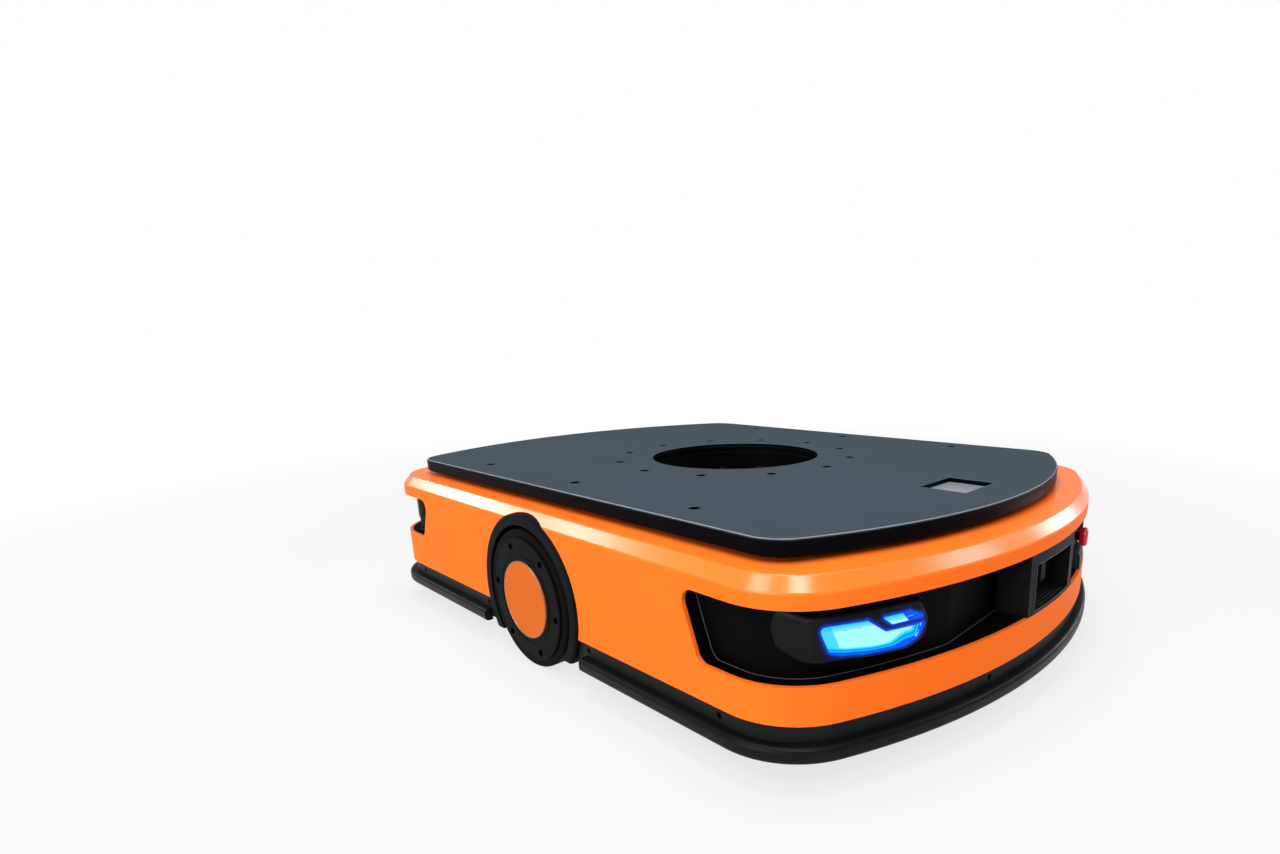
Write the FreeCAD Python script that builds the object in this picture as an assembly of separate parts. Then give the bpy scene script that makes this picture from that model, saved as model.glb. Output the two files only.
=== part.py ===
import FreeCAD, Part
import math
import os
from FreeCAD import Vector

os.makedirs("parts", exist_ok=True)

# Low autonomous mobile robot with a lifting load plate. Millimetres.
# Origin: on the floor under the middle of the plate. +X front, +Y left, +Z up.

# ---------------------------------------------------------------- driving sizes
running_gap = 0.05            # radial clearance of a shaft in its bush
seat_gap = 0.3                # gap between neighbouring covers
floor_clearance = 30.0        # underside of the chassis pan

# body shell
body_half_length = 462.0
body_half_width = 334.0
body_end_radius = 643.0
body_corner_radius = 87.0
shell_wall = 4.0
shell_bottom = 57.0
shell_top = 181.0
bevel_height = 12.5
bevel_inset = 9.5
shoulder_radius = 4.0         # rounds the bevel into the side
deck_edge_radius = 2.0

# load plate
plate_thickness = 16.0
plate_end_step = 38.0         # from the body's end to the plate's
plate_side_step = 31.0
plate_radius_step = 63.0
plate_corner_radius = 45.0
plate_edge_chamfer = 1.6
centre_hole_radius = 119.0
bolt_circle_radius = 165.0
bolt_count = 12
bolt_hole_radius = 4.5
grid_half_length = 206.0
grid_side_step = 38.0         # from the plate's side to its holes
grid_hole_radius = 4.5
window_end_step = 74.0        # from the plate's rear end to the window's middle
window_centre_y = 6.0
window_length = 56.0
window_width = 72.0
pane_ledge = 4.0
pane_thickness = 5.0
lift_travel = 60.0

# slots round both ends of the shell
slot_reach = 204.0            # from the body's end to where a slot ends on the side, at its top
slot_end_slant = 24.0         # how much further out its lower corner lies
slot_corner_radius = 12.0
slot_depth = 15.0             # of the wall that follows the sides and corners
recess_end_step = 37.0        # from the body's end to the flat wall in the middle
slot_top = 155.0
front_slot_bottom = 101.0
rear_slot_bottom = 91.0
liner_wall = 3.0

# headlight pods
pod_inset = 3.0               # its face, in from the shell's
pod_side_step = 136.0         # from the body's side to where a pod stops
pod_bottom = 106.0
pod_top = 150.0
pod_foot_angle = 67.0         # where its flat outer side starts on the slot's wall
pod_crest_angle = 41.5        # and where it ends, as seen from the corner's centre
pod_crest_radius = 30.0
pod_edge_radius = 6.0
lens_side_step = 124.0
lens_crest_gap = 5.0          # from the end of the pod's flat side to its lens
lens_bottom = 113.0
lens_top = 139.0
lens_proud = 1.5

# chassis
pan_thickness = 6.0
skirt_inset = 3.0
skirt_wall = 4.0
skirt_screw_radius = 3.2
skirt_screw_drop = 9.0        # below the shell's lower edge
skirt_screw_offset = 5.0     # past the bumper's end
skirt_screw_end_step = 160.0  # from the body's end
skirt_screw_end_y = 120.0
bumper_bottom = 26.0
bumper_height = 15.0
bumper_proud = 7.0
bumper_edge_radius = 5.0
bumper_arch_gap = 6.0

# drive wheels
wheel_radius = 80.0
tyre_width = 45.0
tyre_band = 9.0
tyre_edge_radius = 4.0
wheel_proud = 5.0             # past the body's side
disc_thickness = 8.0
disc_step = 2.0
rim_wall = 6.0
hub_hole_count = 6
hub_hole_ring = 62.0
hub_hole_radius = 3.4
hub_hole_turn = 8.5           # degrees
cap_radius = 44.5
cap_proud = 1.5
cap_thickness = 4.0
axle_radius = 12.0
wheel_well_gap = 4.5
arch_width = 13.0
arch_setback = 2.5            # of its face, behind the wheel's
arch_depth = 30.0
arch_foot_height = 26.0
arch_edge_radius = 3.0
well_wall = 3.0
well_depth = 70.0

# drive units
gearbox_radius = 42.0
gearbox_length = 48.0
gearbox_gap = 8.0
gearbox_floor = 8.0           # closed end behind the axle
motor_radius = 34.0
motor_length = 110.0
encoder_radius = 20.0
encoder_length = 12.0
bracket_thickness = 16.0
bracket_width = 100.0
bracket_setback = 6.0
bracket_crown = 8.0

# casters
caster_end_step = 162.0       # from the body's end and side
caster_side_step = 134.0
caster_wheel_radius = 30.0
caster_wheel_width = 22.0
caster_trail = 18.0
caster_axle_radius = 5.0
caster_hole_radius = 56.0
fork_wall = 4.0
fork_gap = 1.0
fork_top = 68.0
fork_crown_radius = 22.0
fork_blade_top = 18.0
fork_blade_end = 9.0
nut_thickness = 5.0
nut_margin = 4.0
caster_plate_size = 100.0
caster_plate_thickness = 5.0
caster_post_radius = 6.0
kingpin_radius = 8.0

# lift columns
column_x = 150.0
column_y = 112.0
rod_radius = 12.0
barrel_radius = 20.0
barrel_top = 150.0
barrel_foot_thickness = 6.0
barrel_foot_margin = 10.0
rod_engagement = 28.0         # left in its barrel when the plate is up
rod_deck_gap = 3.0
frame_thickness = 4.0
frame_margin = 34.0
deck_gap = 1.0                # between the deck and the lowered lift frame
hole_liner_wall = 5.2
hole_liner_height = 20.0
deck_hole_gap = 3.5           # round the hole liner

# lidar
lidar_y = -50.0
lidar_wall_step = 5.0         # from the recess's flat wall out to its axis
lidar_radius = 24.0
niche_gap = 3.0               # round the base, in the flat wall
lidar_wall = 2.0
lidar_base_margin = 4.0
lidar_base_height = 8.0
lidar_rotor_radius = 15.0
lidar_rotor_height = 26.0
lidar_rotor_lift = 2.0
lidar_mirror_offset = 5.0
lidar_mirror_margin = 6.0
lidar_spindle_radius = 4.0
lidar_spindle_height = 8.0

# control panel on the front
panel_top = 87.0
panel_left_step = 124.0       # from the body's sides to the panel's lower corners
panel_right_step = 112.0
panel_left_slant = 30.0       # how far its upper corners lie further in
panel_right_slant = 16.0
panel_thickness = 5.0
panel_inset = 1.0
badge_length = 61.0           # yellow plate behind the stop button, along its top
badge_slant = 29.0
badge_overhang = 8.0          # past the button's middle
badge_margin = 1.6
badge_thickness = 1.2
badge_corner_radius = 3.0
film_gap = 0.1                # glue line behind the badge
stop_side_step = 174.0        # from the body's side to the button's middle
stop_z = 71.5
stop_collar_radius = 13.0
stop_collar_height = 4.0
stop_neck_radius = 9.0
stop_neck_length = 18.0
stop_rest_gap = 1.0           # left under the head when it is pressed
stop_edge_radius = 3.0
collar_edge_radius = 1.2
stop_stem_radius = 5.0
stop_stem_length = 26.0
stop_head_radius = 11.5
stop_head_height = 9.0
stop_travel = 4.0
button_side_step = 145.0      # from the body's side to the outer button
button_spacing = 19.0
button_z = 75.0
button_radius = 6.2
button_pressed_height = 0.9
button_length = 14.0
button_edge_radius = 0.8
button_travel = 1.5
bezel_margin = 4.0
bezel_proud = 1.6

# rear stop button and docking bay
rear_stop_side_step = 188.0   # from the body's side
rear_stop_z = 126.0
console_width = 44.0          # block that carries the rear stop button
console_inset = 14.0
console_sill_inset = 1.5
console_sill_height = 20.0
console_edge_radius = 5.0
bay_half_width = 62.0
bay_side_bar = 13.0
bay_top_bar = 12.0
bay_bottom_bar = 3.0
bay_inset = 1.0
bay_depth = 20.0
contact_width = 12.0
contact_length = 26.0
contact_spacing = 40.0
contact_height = 4.0

# inner equipment
equipment_gap = 3.0           # from the boxes to the scanner's niche
equipment_foot_gap = 26.0     # from the boxes to the lift columns' feet
equipment_side_gap = 25.0     # from the boxes to the caster seats
battery_height = 110.0
controller_height = 80.0
case_edge_radius = 4.0
camera_radius = 30.0
camera_height = 40.0
camera_plate_gap = 23.0       # from its top to the plate's underside
camera_post_radius = 12.0
camera_lens_radius = 14.0
camera_lens_depth = 6.0
camera_foot_thickness = 5.0

# ---------------------------------------------------------------- derived sizes
far = 2.0 * body_half_length  # longer than anything that is cut
front, rear = 1, -1
left, right = 1, -1

plate_bottom = shell_top + deck_gap + frame_thickness
plate_half_length = body_half_length - plate_end_step
plate_half_width = body_half_width - plate_side_step
plate_end_radius = body_end_radius - plate_radius_step
grid_half_width = plate_half_width - grid_side_step
window_centre_x = window_end_step - plate_half_length
frame_hole_radius = centre_hole_radius + hole_liner_wall + seat_gap
deck_hole_radius = frame_hole_radius + deck_hole_gap

slot_end_x = body_half_length - slot_reach
recess_x = body_half_length - recess_end_step
lidar_x = recess_x + lidar_wall_step
niche_radius = lidar_radius + lidar_base_margin + niche_gap
pod_inner_y = body_half_width - pod_side_step
lens_inner_y = body_half_width - lens_side_step

pan_top = floor_clearance + pan_thickness
wheel_face_y = body_half_width + wheel_proud
arch_face_y = wheel_face_y - arch_setback
arch_inner_radius = wheel_radius + wheel_well_gap
arch_outer_radius = arch_inner_radius + arch_width
skirt_screw_outer_x = body_half_length - skirt_screw_end_step
bumper_end_x = arch_outer_radius + bumper_arch_gap

caster_x = body_half_length - caster_end_step
caster_y = body_half_width - caster_side_step
rod_bottom = barrel_top - lift_travel - rod_engagement
equipment_inner_x = column_x + barrel_radius + barrel_foot_margin + equipment_foot_gap
equipment_outer_x = lidar_x - niche_radius - liner_wall - equipment_gap
equipment_width = 2 * (caster_y - caster_plate_size / 2 - equipment_side_gap)
camera_top = plate_bottom - camera_plate_gap

panel_left_bottom = body_half_width - panel_left_step
panel_right_bottom = body_half_width - panel_right_step
panel_left_top = panel_left_bottom - panel_left_slant
panel_right_top = panel_right_bottom - panel_right_slant
stop_y = body_half_width - stop_side_step
badge_top_y = stop_y + badge_overhang
badge_bottom_y = badge_top_y + badge_slant
badge_inner_y = badge_top_y - badge_length
button_outer_y = button_side_step - body_half_width
button_y = (button_outer_y, button_outer_y + button_spacing, button_outer_y + 2 * button_spacing)
button_height = button_pressed_height + button_travel
rear_stop_y = rear_stop_side_step - body_half_width


# ---------------------------------------------------------------- plain helpers
def save(name, shape):
    shape.exportStep("parts/" + name + ".step")


def box(x0, x1, y0, y1, z0, z1):
    return Part.makeBox(x1 - x0, y1 - y0, z1 - z0, Vector(x0, y0, z0))


def tube(outer, inner, height, base, direction=Vector(0, 0, 1)):
    solid = Part.makeCylinder(outer, height, base, direction)
    return solid.cut(Part.makeCylinder(inner, height, base, direction))


def rod(radius, height, base, direction=Vector(0, 0, 1)):
    return Part.makeCylinder(radius, height, base, direction)


def corner_centre(half_length, half_width, end_radius, corner_radius):
    """Centre of the corner arc that joins the straight side to the end arc."""
    y = half_width - corner_radius
    x = half_length - end_radius + math.sqrt((end_radius - corner_radius) ** 2 - y ** 2)
    return x, y


def plan_wire(half_length, half_width, end_radius, corner_radius, z):
    """Closed plan outline: straight sides, long end arcs and rounded corners."""
    corner_x, corner_y = corner_centre(half_length, half_width, end_radius, corner_radius)
    end_angle = math.atan2(corner_y, corner_x - half_length + end_radius)
    edges = []
    for sx, sy in ((1, 1), (-1, 1), (-1, -1), (1, -1)):
        centre = Vector(sx * corner_x, sy * corner_y, z)
        mid_angle = (end_angle + math.pi / 2) / 2
        joint = [end_angle, mid_angle, math.pi / 2]
        points = [centre + Vector(sx * corner_radius * math.cos(a), sy * corner_radius * math.sin(a), 0)
                  for a in joint]
        if sx * sy < 0:
            points.reverse()
        edges.append(Part.Arc(*points).toShape())
    ends = [(edge.firstVertex().Point, edge.lastVertex().Point) for edge in edges]
    ordered = [edges[0], Part.makeLine(ends[0][1], ends[1][0]), edges[1],
               Part.Arc(ends[1][1], Vector(-half_length, 0, z), ends[2][0]).toShape(), edges[2],
               Part.makeLine(ends[2][1], ends[3][0]), edges[3],
               Part.Arc(ends[3][1], Vector(half_length, 0, z), ends[0][0]).toShape()]
    return Part.Wire(ordered)


def corner_point(degrees, inset):
    """Point on the body's rounded corner, from its direction as seen from the corner's centre."""
    centre_x, centre_y = corner_centre(body_half_length, body_half_width, body_end_radius, body_corner_radius)
    radius, angle = body_corner_radius - inset, math.radians(degrees)
    return centre_x + radius * math.cos(angle), centre_y + radius * math.sin(angle)


def body_wire(inset, z):
    return plan_wire(body_half_length - inset, body_half_width - inset,
                     body_end_radius - inset, body_corner_radius - inset, z)


def body_prism(inset, z0, z1):
    return Part.Face(body_wire(inset, z0)).extrude(Vector(0, 0, z1 - z0))


def body_ring(outer_inset, inner_inset, z0, z1):
    return body_prism(outer_inset, z0, z1).cut(body_prism(inner_inset, z0, z1))


def beveled_body(inset, z0, z1, shoulder):
    """Prism of the plan outline whose top edge is cut back by the bevel."""
    lower = body_prism(inset, z0, shoulder)
    wires = [body_wire(inset, shoulder), body_wire(inset + bevel_inset, z1)]
    return lower.fuse(Part.makeLoft(wires, True, True)).removeSplitter()


def level_edges(solid, z):
    """Edges that lie flat at one height."""
    return [e for e in solid.Edges if e.BoundBox.ZLength < 0.01 and abs(e.BoundBox.ZMin - z) < 0.01]


def polygon_prism(points, direction):
    wire = Part.makePolygon(points + [points[0]])
    return Part.Face(wire).extrude(direction)


def end_x(y, inset=0.0):
    """X of the front end arc at a given Y."""
    radius = body_end_radius - inset
    return body_half_length - body_end_radius + math.sqrt(radius ** 2 - y ** 2)


def slot_bottom(end):
    return front_slot_bottom if end == front else rear_slot_bottom


# ---------------------------------------------------------------- shell and slots
def slot_cutter(end, grow=0.0):
    """Space of one slot seen from the side, right through in Y; grow widens it."""
    z0 = slot_bottom(end) - grow
    z1 = slot_top + grow
    x_top = slot_end_x - grow
    x_low = slot_end_x + slot_end_slant - grow
    points = [Vector(end * x_top, -far, z1), Vector(end * far, -far, z1),
              Vector(end * far, -far, z0), Vector(end * x_low, -far, z0)]
    solid = polygon_prism(points, Vector(0, 2 * far, 0))
    edges = [e for e in solid.Edges
             if abs(e.Vertexes[0].X) < slot_end_x + slot_end_slant + 1
             and abs(e.Vertexes[0].X - e.Vertexes[-1].X) < 0.01
             and abs(e.Vertexes[0].Z - e.Vertexes[-1].Z) < 0.01]
    return solid.makeFillet(slot_corner_radius, edges)


def panel_cutter(grow=0.0):
    """Trapezoid opening of the control panel, seen from the front."""
    z0 = shell_bottom - 1.0
    z1 = panel_top + grow
    points = [Vector(0, -panel_right_bottom - grow, z0), Vector(0, panel_left_bottom + grow, z0),
              Vector(0, panel_left_top + grow, z1), Vector(0, -panel_right_top - grow, z1)]
    return polygon_prism(points, Vector(far, 0, 0))


def arch_profile(radius, foot, y0, y1):
    """Disc round the wheel's axis, cut off level at the foot height."""
    disc = rod(radius, y1 - y0, Vector(0, y0, wheel_radius), Vector(0, 1, 0))
    return disc.common(box(-radius, radius, y0, y1, foot, wheel_radius + radius))


def make_body_shell():
    shoulder = shell_top - bevel_height
    outer = beveled_body(0.0, shell_bottom, shell_top, shoulder)
    outer = outer.makeFillet(shoulder_radius, level_edges(outer, shoulder))
    outer = outer.makeFillet(deck_edge_radius, level_edges(outer, shell_top))
    inner = beveled_body(shell_wall, shell_bottom - 1.0, shell_top - shell_wall, shoulder - shell_wall / 2)
    shell = outer.cut(inner)
    cuts = [slot_cutter(front), slot_cutter(rear), panel_cutter(seat_gap)]
    cuts.append(rod(deck_hole_radius, far, Vector(0, 0, barrel_top)))
    for sx in (front, rear):
        for sy in (left, right):
            spot = Vector(sx * column_x, sy * column_y, barrel_top)
            cuts.append(rod(rod_radius + rod_deck_gap, far, spot))
    arch_back_y = arch_face_y - arch_depth - seat_gap
    cuts.append(arch_profile(arch_outer_radius + seat_gap, 0.0, arch_back_y, far))
    cuts.append(arch_profile(arch_outer_radius + seat_gap, 0.0, -far, -arch_back_y))
    return shell.cut(Part.makeCompound(cuts))


def recess_body(z0, z1, wall=0.0):
    """What lies behind the slots' back walls: the plan outline, cut flat at both ends."""
    half = recess_x - wall
    return body_prism(slot_depth + wall, z0, z1).common(box(-half, half, -far, far, z0, z1))


def make_slot_liner(end):
    """Black pocket behind a slot: floor, roof, slanted ends and a back wall, flat in its middle."""
    z0 = slot_bottom(end) - liner_wall
    z1 = slot_top + liner_wall
    block = body_prism(shell_wall + seat_gap, z0, z1).cut(recess_body(z0, z1, liner_wall))
    if end == front:
        block = block.fuse(rod(niche_radius + liner_wall, z1 - z0, Vector(lidar_x, lidar_y, z0)))
        block = block.common(body_prism(shell_wall + seat_gap, z0, z1))
    block = block.common(slot_cutter(end, liner_wall))
    pocket = body_prism(-1.0, z0, z1).cut(recess_body(z0, z1))
    if end == front:
        pocket = pocket.fuse(rod(niche_radius, z1 - z0, Vector(lidar_x, lidar_y, z0)))
    liner = block.cut(pocket.common(slot_cutter(end)))
    if end == rear:
        liner = liner.cut(end_turned(stop_neck_bore(seat_gap), rear_stop_y, rear_stop_z, rear))
    return liner


# ---------------------------------------------------------------- headlights
def corner_block(end, side, inner_y, outer_x, outer_inset, inner_inset, z0, z1):
    """Curved block that follows the rounded corner between two limits."""
    ring = body_ring(outer_inset, inner_inset, z0, z1)
    x0, x1 = sorted((end * outer_x, end * far))
    y0, y1 = sorted((side * inner_y, side * far))
    return ring.common(box(x0, x1, y0, y1, z0, z1))


def make_pod(end, side):
    """Rounded bulge on the slot's wall, flat on its outer side, with a seat for its lens."""
    foot_x, foot_y = corner_point(pod_foot_angle, slot_depth)
    crest_x, crest_y = corner_point(pod_crest_angle, pod_inset)
    start_x, start_y = foot_x - (crest_x - foot_x) / 5, foot_y - (crest_y - foot_y) / 5
    plan = [(start_x, start_y), (crest_x, crest_y), (far, far), (far, pod_inner_y), (start_x, pod_inner_y)]
    points = [Vector(end * x, side * y, pod_bottom) for x, y in plan]
    prism = polygon_prism(points, Vector(0, 0, pod_top - pod_bottom))
    pod = body_prism(pod_inset, pod_bottom, pod_top).common(prism)
    crest = [e for e in pod.Edges if e.BoundBox.ZLength > 1 and abs(abs(e.BoundBox.XMin) - crest_x) < 0.1]
    pod = pod.makeFillet(pod_crest_radius, crest)
    level = [e for e in level_edges(pod, pod_top) + level_edges(pod, pod_bottom)
             if end * e.CenterOfMass.x > foot_x and side * e.CenterOfMass.y > pod_inner_y + 1]
    pod = pod.makeFillet(pod_edge_radius, level)
    return pod.cut(recess_body(pod_bottom, pod_top)).cut(make_lens(end, side))


def make_lens(end, side):
    """Curved lens let into the pod from the end of its flat side to its inner edge."""
    lens_outer_x = corner_point(pod_crest_angle, pod_inset)[0] + lens_crest_gap
    return corner_block(end, side, lens_inner_y, lens_outer_x, pod_inset - lens_proud,
                        pod_inset + lens_proud, lens_bottom, lens_top)


def make_at_corners(maker):
    return Part.makeCompound([maker(end, side) for end in (front, rear) for side in (left, right)])


# ---------------------------------------------------------------- lower chassis
def make_chassis_pan():
    pan = body_prism(skirt_inset + skirt_wall, floor_clearance, pan_top)
    well_back_y = arch_face_y - well_depth - seat_gap
    arch_back_y = arch_face_y - arch_depth - seat_gap
    cuts = []
    for radius, y in ((arch_inner_radius + well_wall, well_back_y), (arch_outer_radius, arch_back_y)):
        cuts.append(arch_profile(radius + seat_gap, 0.0, y, far))
        cuts.append(arch_profile(radius + seat_gap, 0.0, -far, -y))
    for sx in (front, rear):
        for sy in (left, right):
            cuts.append(rod(caster_hole_radius, far, Vector(sx * caster_x, sy * caster_y, 0)))
    return pan.cut(Part.makeCompound(cuts))


def skirt_screw_cutters():
    """Screw holes through the skirt: two on each side of each end and two on the end."""
    z = shell_bottom - skirt_screw_drop
    reach = 2 * (skirt_inset + skirt_wall)
    cutters = []
    for end in (front, rear):
        for side in (left, right):
            for x in (bumper_end_x + skirt_screw_offset, skirt_screw_outer_x):
                base = Vector(end * x, side * body_half_width, z)
                cutters.append(rod(skirt_screw_radius, reach, base, Vector(0, -side, 0)))
            y = side * skirt_screw_end_y
            base = Vector(end * end_x(y), y, z)
            cutters.append(rod(skirt_screw_radius, reach, base, Vector(-end, 0, 0)))
    return cutters


def make_lower_skirt():
    ring = body_ring(skirt_inset, skirt_inset + skirt_wall, floor_clearance, shell_bottom)
    ring = ring.cut(arch_profile(arch_outer_radius + seat_gap, 0.0, -far, far))
    return ring.cut(Part.makeCompound(skirt_screw_cutters()))


def make_bumper(end):
    """Rubber strip round one end, with a rounded outer edge."""
    z0, z1 = bumper_bottom, bumper_bottom + bumper_height
    outer = body_prism(-bumper_proud, z0, z1)
    edges = [e for e in outer.Edges if e.BoundBox.ZLength < 0.01]
    outer = outer.makeFillet(bumper_edge_radius, edges)
    strip = outer.cut(body_prism(skirt_inset, z0, z1))
    x0, x1 = sorted((end * bumper_end_x, end * far))
    return strip.common(box(x0, x1, -far, far, z0, z1))


# ---------------------------------------------------------------- load plate and lift
def grid_points():
    return [(sx * grid_half_length, sy * grid_half_width) for sx in (-1, 0, 1) for sy in (-1, 1)]


def make_top_plate():
    wire = plan_wire(plate_half_length, plate_half_width, plate_end_radius, plate_corner_radius, plate_bottom)
    plate = Part.Face(wire).extrude(Vector(0, 0, plate_thickness))
    edges = [e for e in plate.Edges if e.BoundBox.ZLength < 0.01]
    plate = plate.makeChamfer(plate_edge_chamfer, edges)
    cuts = [rod(centre_hole_radius, far, Vector(0, 0, 0))]
    for i in range(bolt_count):
        a = 2 * math.pi * i / bolt_count
        spot = Vector(bolt_circle_radius * math.cos(a), bolt_circle_radius * math.sin(a), 0)
        cuts.append(rod(bolt_hole_radius, far, spot))
    for x, y in grid_points():
        cuts.append(rod(grid_hole_radius, far, Vector(x, y, 0)))
    cuts.append(window_box(0.0, 0.0, far))
    cuts.append(window_box(pane_ledge, 0.0, plate_bottom + pane_thickness))
    return plate.cut(Part.makeCompound(cuts))


def window_box(grow, z0, z1):
    return box(window_centre_x - window_length / 2 - grow, window_centre_x + window_length / 2 + grow,
               window_centre_y - window_width / 2 - grow, window_centre_y + window_width / 2 + grow, z0, z1)


def make_window_pane():
    return window_box(pane_ledge - seat_gap, plate_bottom, plate_bottom + pane_thickness)


def make_lift_frame():
    half_x = column_x + frame_margin
    half_y = column_y + frame_margin
    frame = box(-half_x, half_x, -half_y, half_y, plate_bottom - frame_thickness, plate_bottom)
    cuts = [rod(frame_hole_radius, far, Vector(0, 0, 0))]
    for i in range(bolt_count):
        a = 2 * math.pi * i / bolt_count
        spot = Vector(bolt_circle_radius * math.cos(a), bolt_circle_radius * math.sin(a), 0)
        cuts.append(rod(2 * bolt_hole_radius, far, spot))
    return frame.cut(Part.makeCompound(cuts))


def make_hole_liner():
    base = Vector(0, 0, plate_bottom - hole_liner_height)
    return tube(centre_hole_radius + hole_liner_wall, centre_hole_radius, hole_liner_height, base)


def column_spots(z):
    return [Vector(sx * column_x, sy * column_y, z) for sx in (front, rear) for sy in (left, right)]


def make_lift_rods():
    top = plate_bottom - frame_thickness
    return Part.makeCompound([rod(rod_radius, top - rod_bottom, spot) for spot in column_spots(rod_bottom)])


def make_lift_barrels():
    solids = []
    for spot in column_spots(pan_top):
        barrel = rod(barrel_radius, barrel_top - pan_top, spot)
        bore = rod(rod_radius + running_gap, far, spot + Vector(0, 0, barrel_foot_thickness))
        foot = rod(barrel_radius + barrel_foot_margin, barrel_foot_thickness, spot)
        solids.append(barrel.fuse(foot).cut(bore))
    return Part.makeCompound(solids)


# ---------------------------------------------------------------- drive wheels
def side_rod(radius, y0, y1, side, x=0.0, z=wheel_radius):
    """Cylinder along Y between two distances from the middle, on one side."""
    return rod(radius, y1 - y0, Vector(x, side * y0, z), Vector(0, side, 0))


def make_tyre(side):
    outer_y = wheel_face_y - disc_step
    tyre = side_rod(wheel_radius, outer_y - tyre_width, outer_y, side)
    tyre = tyre.makeFillet(tyre_edge_radius, [e for e in tyre.Edges if e.BoundBox.YLength < 0.01])
    return tyre.cut(side_rod(wheel_radius - tyre_band, 0, far, side))


def make_wheel_disc(side):
    radius = wheel_radius - tyre_band
    back_y = wheel_face_y - disc_step - tyre_width
    rim = side_rod(radius, back_y, wheel_face_y, side)
    rim = rim.cut(side_rod(radius - rim_wall, back_y, wheel_face_y - disc_thickness, side))
    boss = side_rod(2 * axle_radius, back_y, wheel_face_y - disc_thickness, side)
    disc = rim.fuse(boss)
    cuts = [side_rod(cap_radius + seat_gap, wheel_face_y - cap_thickness + cap_proud, far, side),
            side_rod(axle_radius, 0, wheel_face_y - disc_thickness, side)]
    for i in range(hub_hole_count):
        a = math.radians(hub_hole_turn) + 2 * math.pi * i / hub_hole_count
        cuts.append(side_rod(hub_hole_radius, wheel_face_y - disc_thickness, far, side,
                             hub_hole_ring * math.cos(a), wheel_radius + hub_hole_ring * math.sin(a)))
    return disc.cut(Part.makeCompound(cuts))


def make_hub_cap(side):
    outer_y = wheel_face_y + cap_proud
    cap = side_rod(cap_radius, outer_y - cap_thickness, outer_y, side)
    rim = [e for e in cap.Edges if e.BoundBox.YLength < 0.01 and abs(e.BoundBox.YMin) > outer_y - 0.1]
    return cap.makeFillet(1.0, rim)


def gearbox_outer_y():
    return wheel_face_y - disc_step - tyre_width - gearbox_gap


def make_axle(side):
    inner_y = gearbox_outer_y() - gearbox_length + gearbox_floor
    return side_rod(axle_radius, inner_y, wheel_face_y - disc_thickness, side)


def make_gearbox(side):
    outer_y = gearbox_outer_y()
    body = side_rod(gearbox_radius, outer_y - gearbox_length, outer_y, side)
    bore_y = outer_y - gearbox_length + gearbox_floor - running_gap
    bore = side_rod(axle_radius + running_gap, bore_y, far, side)
    return body.cut(bore)


def make_motor(side):
    outer_y = gearbox_outer_y() - gearbox_length
    motor = side_rod(motor_radius, outer_y - motor_length, outer_y, side)
    return motor.fuse(side_rod(encoder_radius, outer_y - motor_length - encoder_length, outer_y, side))


def make_drive_brackets():
    """Pedestals on the pan that clasp the gearboxes."""
    outer_y = gearbox_outer_y() - bracket_setback
    inner_y = outer_y - bracket_thickness
    top = wheel_radius + gearbox_radius + bracket_crown
    solids = []
    for side in (left, right):
        y0, y1 = sorted((side * inner_y, side * outer_y))
        block = box(-bracket_width / 2, bracket_width / 2, y0, y1, pan_top, top)
        solids.append(block.cut(side_rod(gearbox_radius, 0, far, side)))
    return Part.makeCompound(solids)


def make_wheel_arch(side):
    y0, y1 = arch_face_y - arch_depth, arch_face_y
    arch = arch_profile(arch_outer_radius, arch_foot_height, y0, y1)
    face_edges = [e for e in arch.Edges if e.BoundBox.YLength < 0.01 and e.BoundBox.YMin > y1 - 0.1
                  and e.BoundBox.ZMax > arch_foot_height + 1]
    arch = arch.makeFillet(arch_edge_radius, face_edges)
    well = arch_profile(arch_inner_radius + well_wall, pan_top, arch_face_y - well_depth, y0)
    arch = arch.fuse(well).cut(arch_profile(arch_inner_radius, 0.0, 0.0, far))
    if side == right:
        arch = arch.mirror(Vector(0, 0, 0), Vector(0, 1, 0))
    return arch


# ---------------------------------------------------------------- casters
def caster_places():
    return [("front_left", front, left), ("front_right", front, right),
            ("rear_left", rear, left), ("rear_right", rear, right)]


def make_caster_plates():
    """Raised seats of the swivels, each on four posts from the pan."""
    solids = []
    half = caster_plate_size / 2
    z0 = fork_top + fork_gap
    for name, sx, sy in caster_places():
        x, y = sx * caster_x, sy * caster_y
        seat = box(x - half, x + half, y - half, y + half, z0, z0 + caster_plate_thickness)
        seat = seat.cut(rod(kingpin_radius + running_gap, far, Vector(x, y, 0)))
        post_spot = half - caster_post_radius
        for px in (-post_spot, post_spot):
            for py in (-post_spot, post_spot):
                seat = seat.fuse(rod(caster_post_radius, z0 - pan_top, Vector(x + px, y + py, pan_top)))
        solids.append(seat.removeSplitter())
    return Part.makeCompound(solids)


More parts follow.
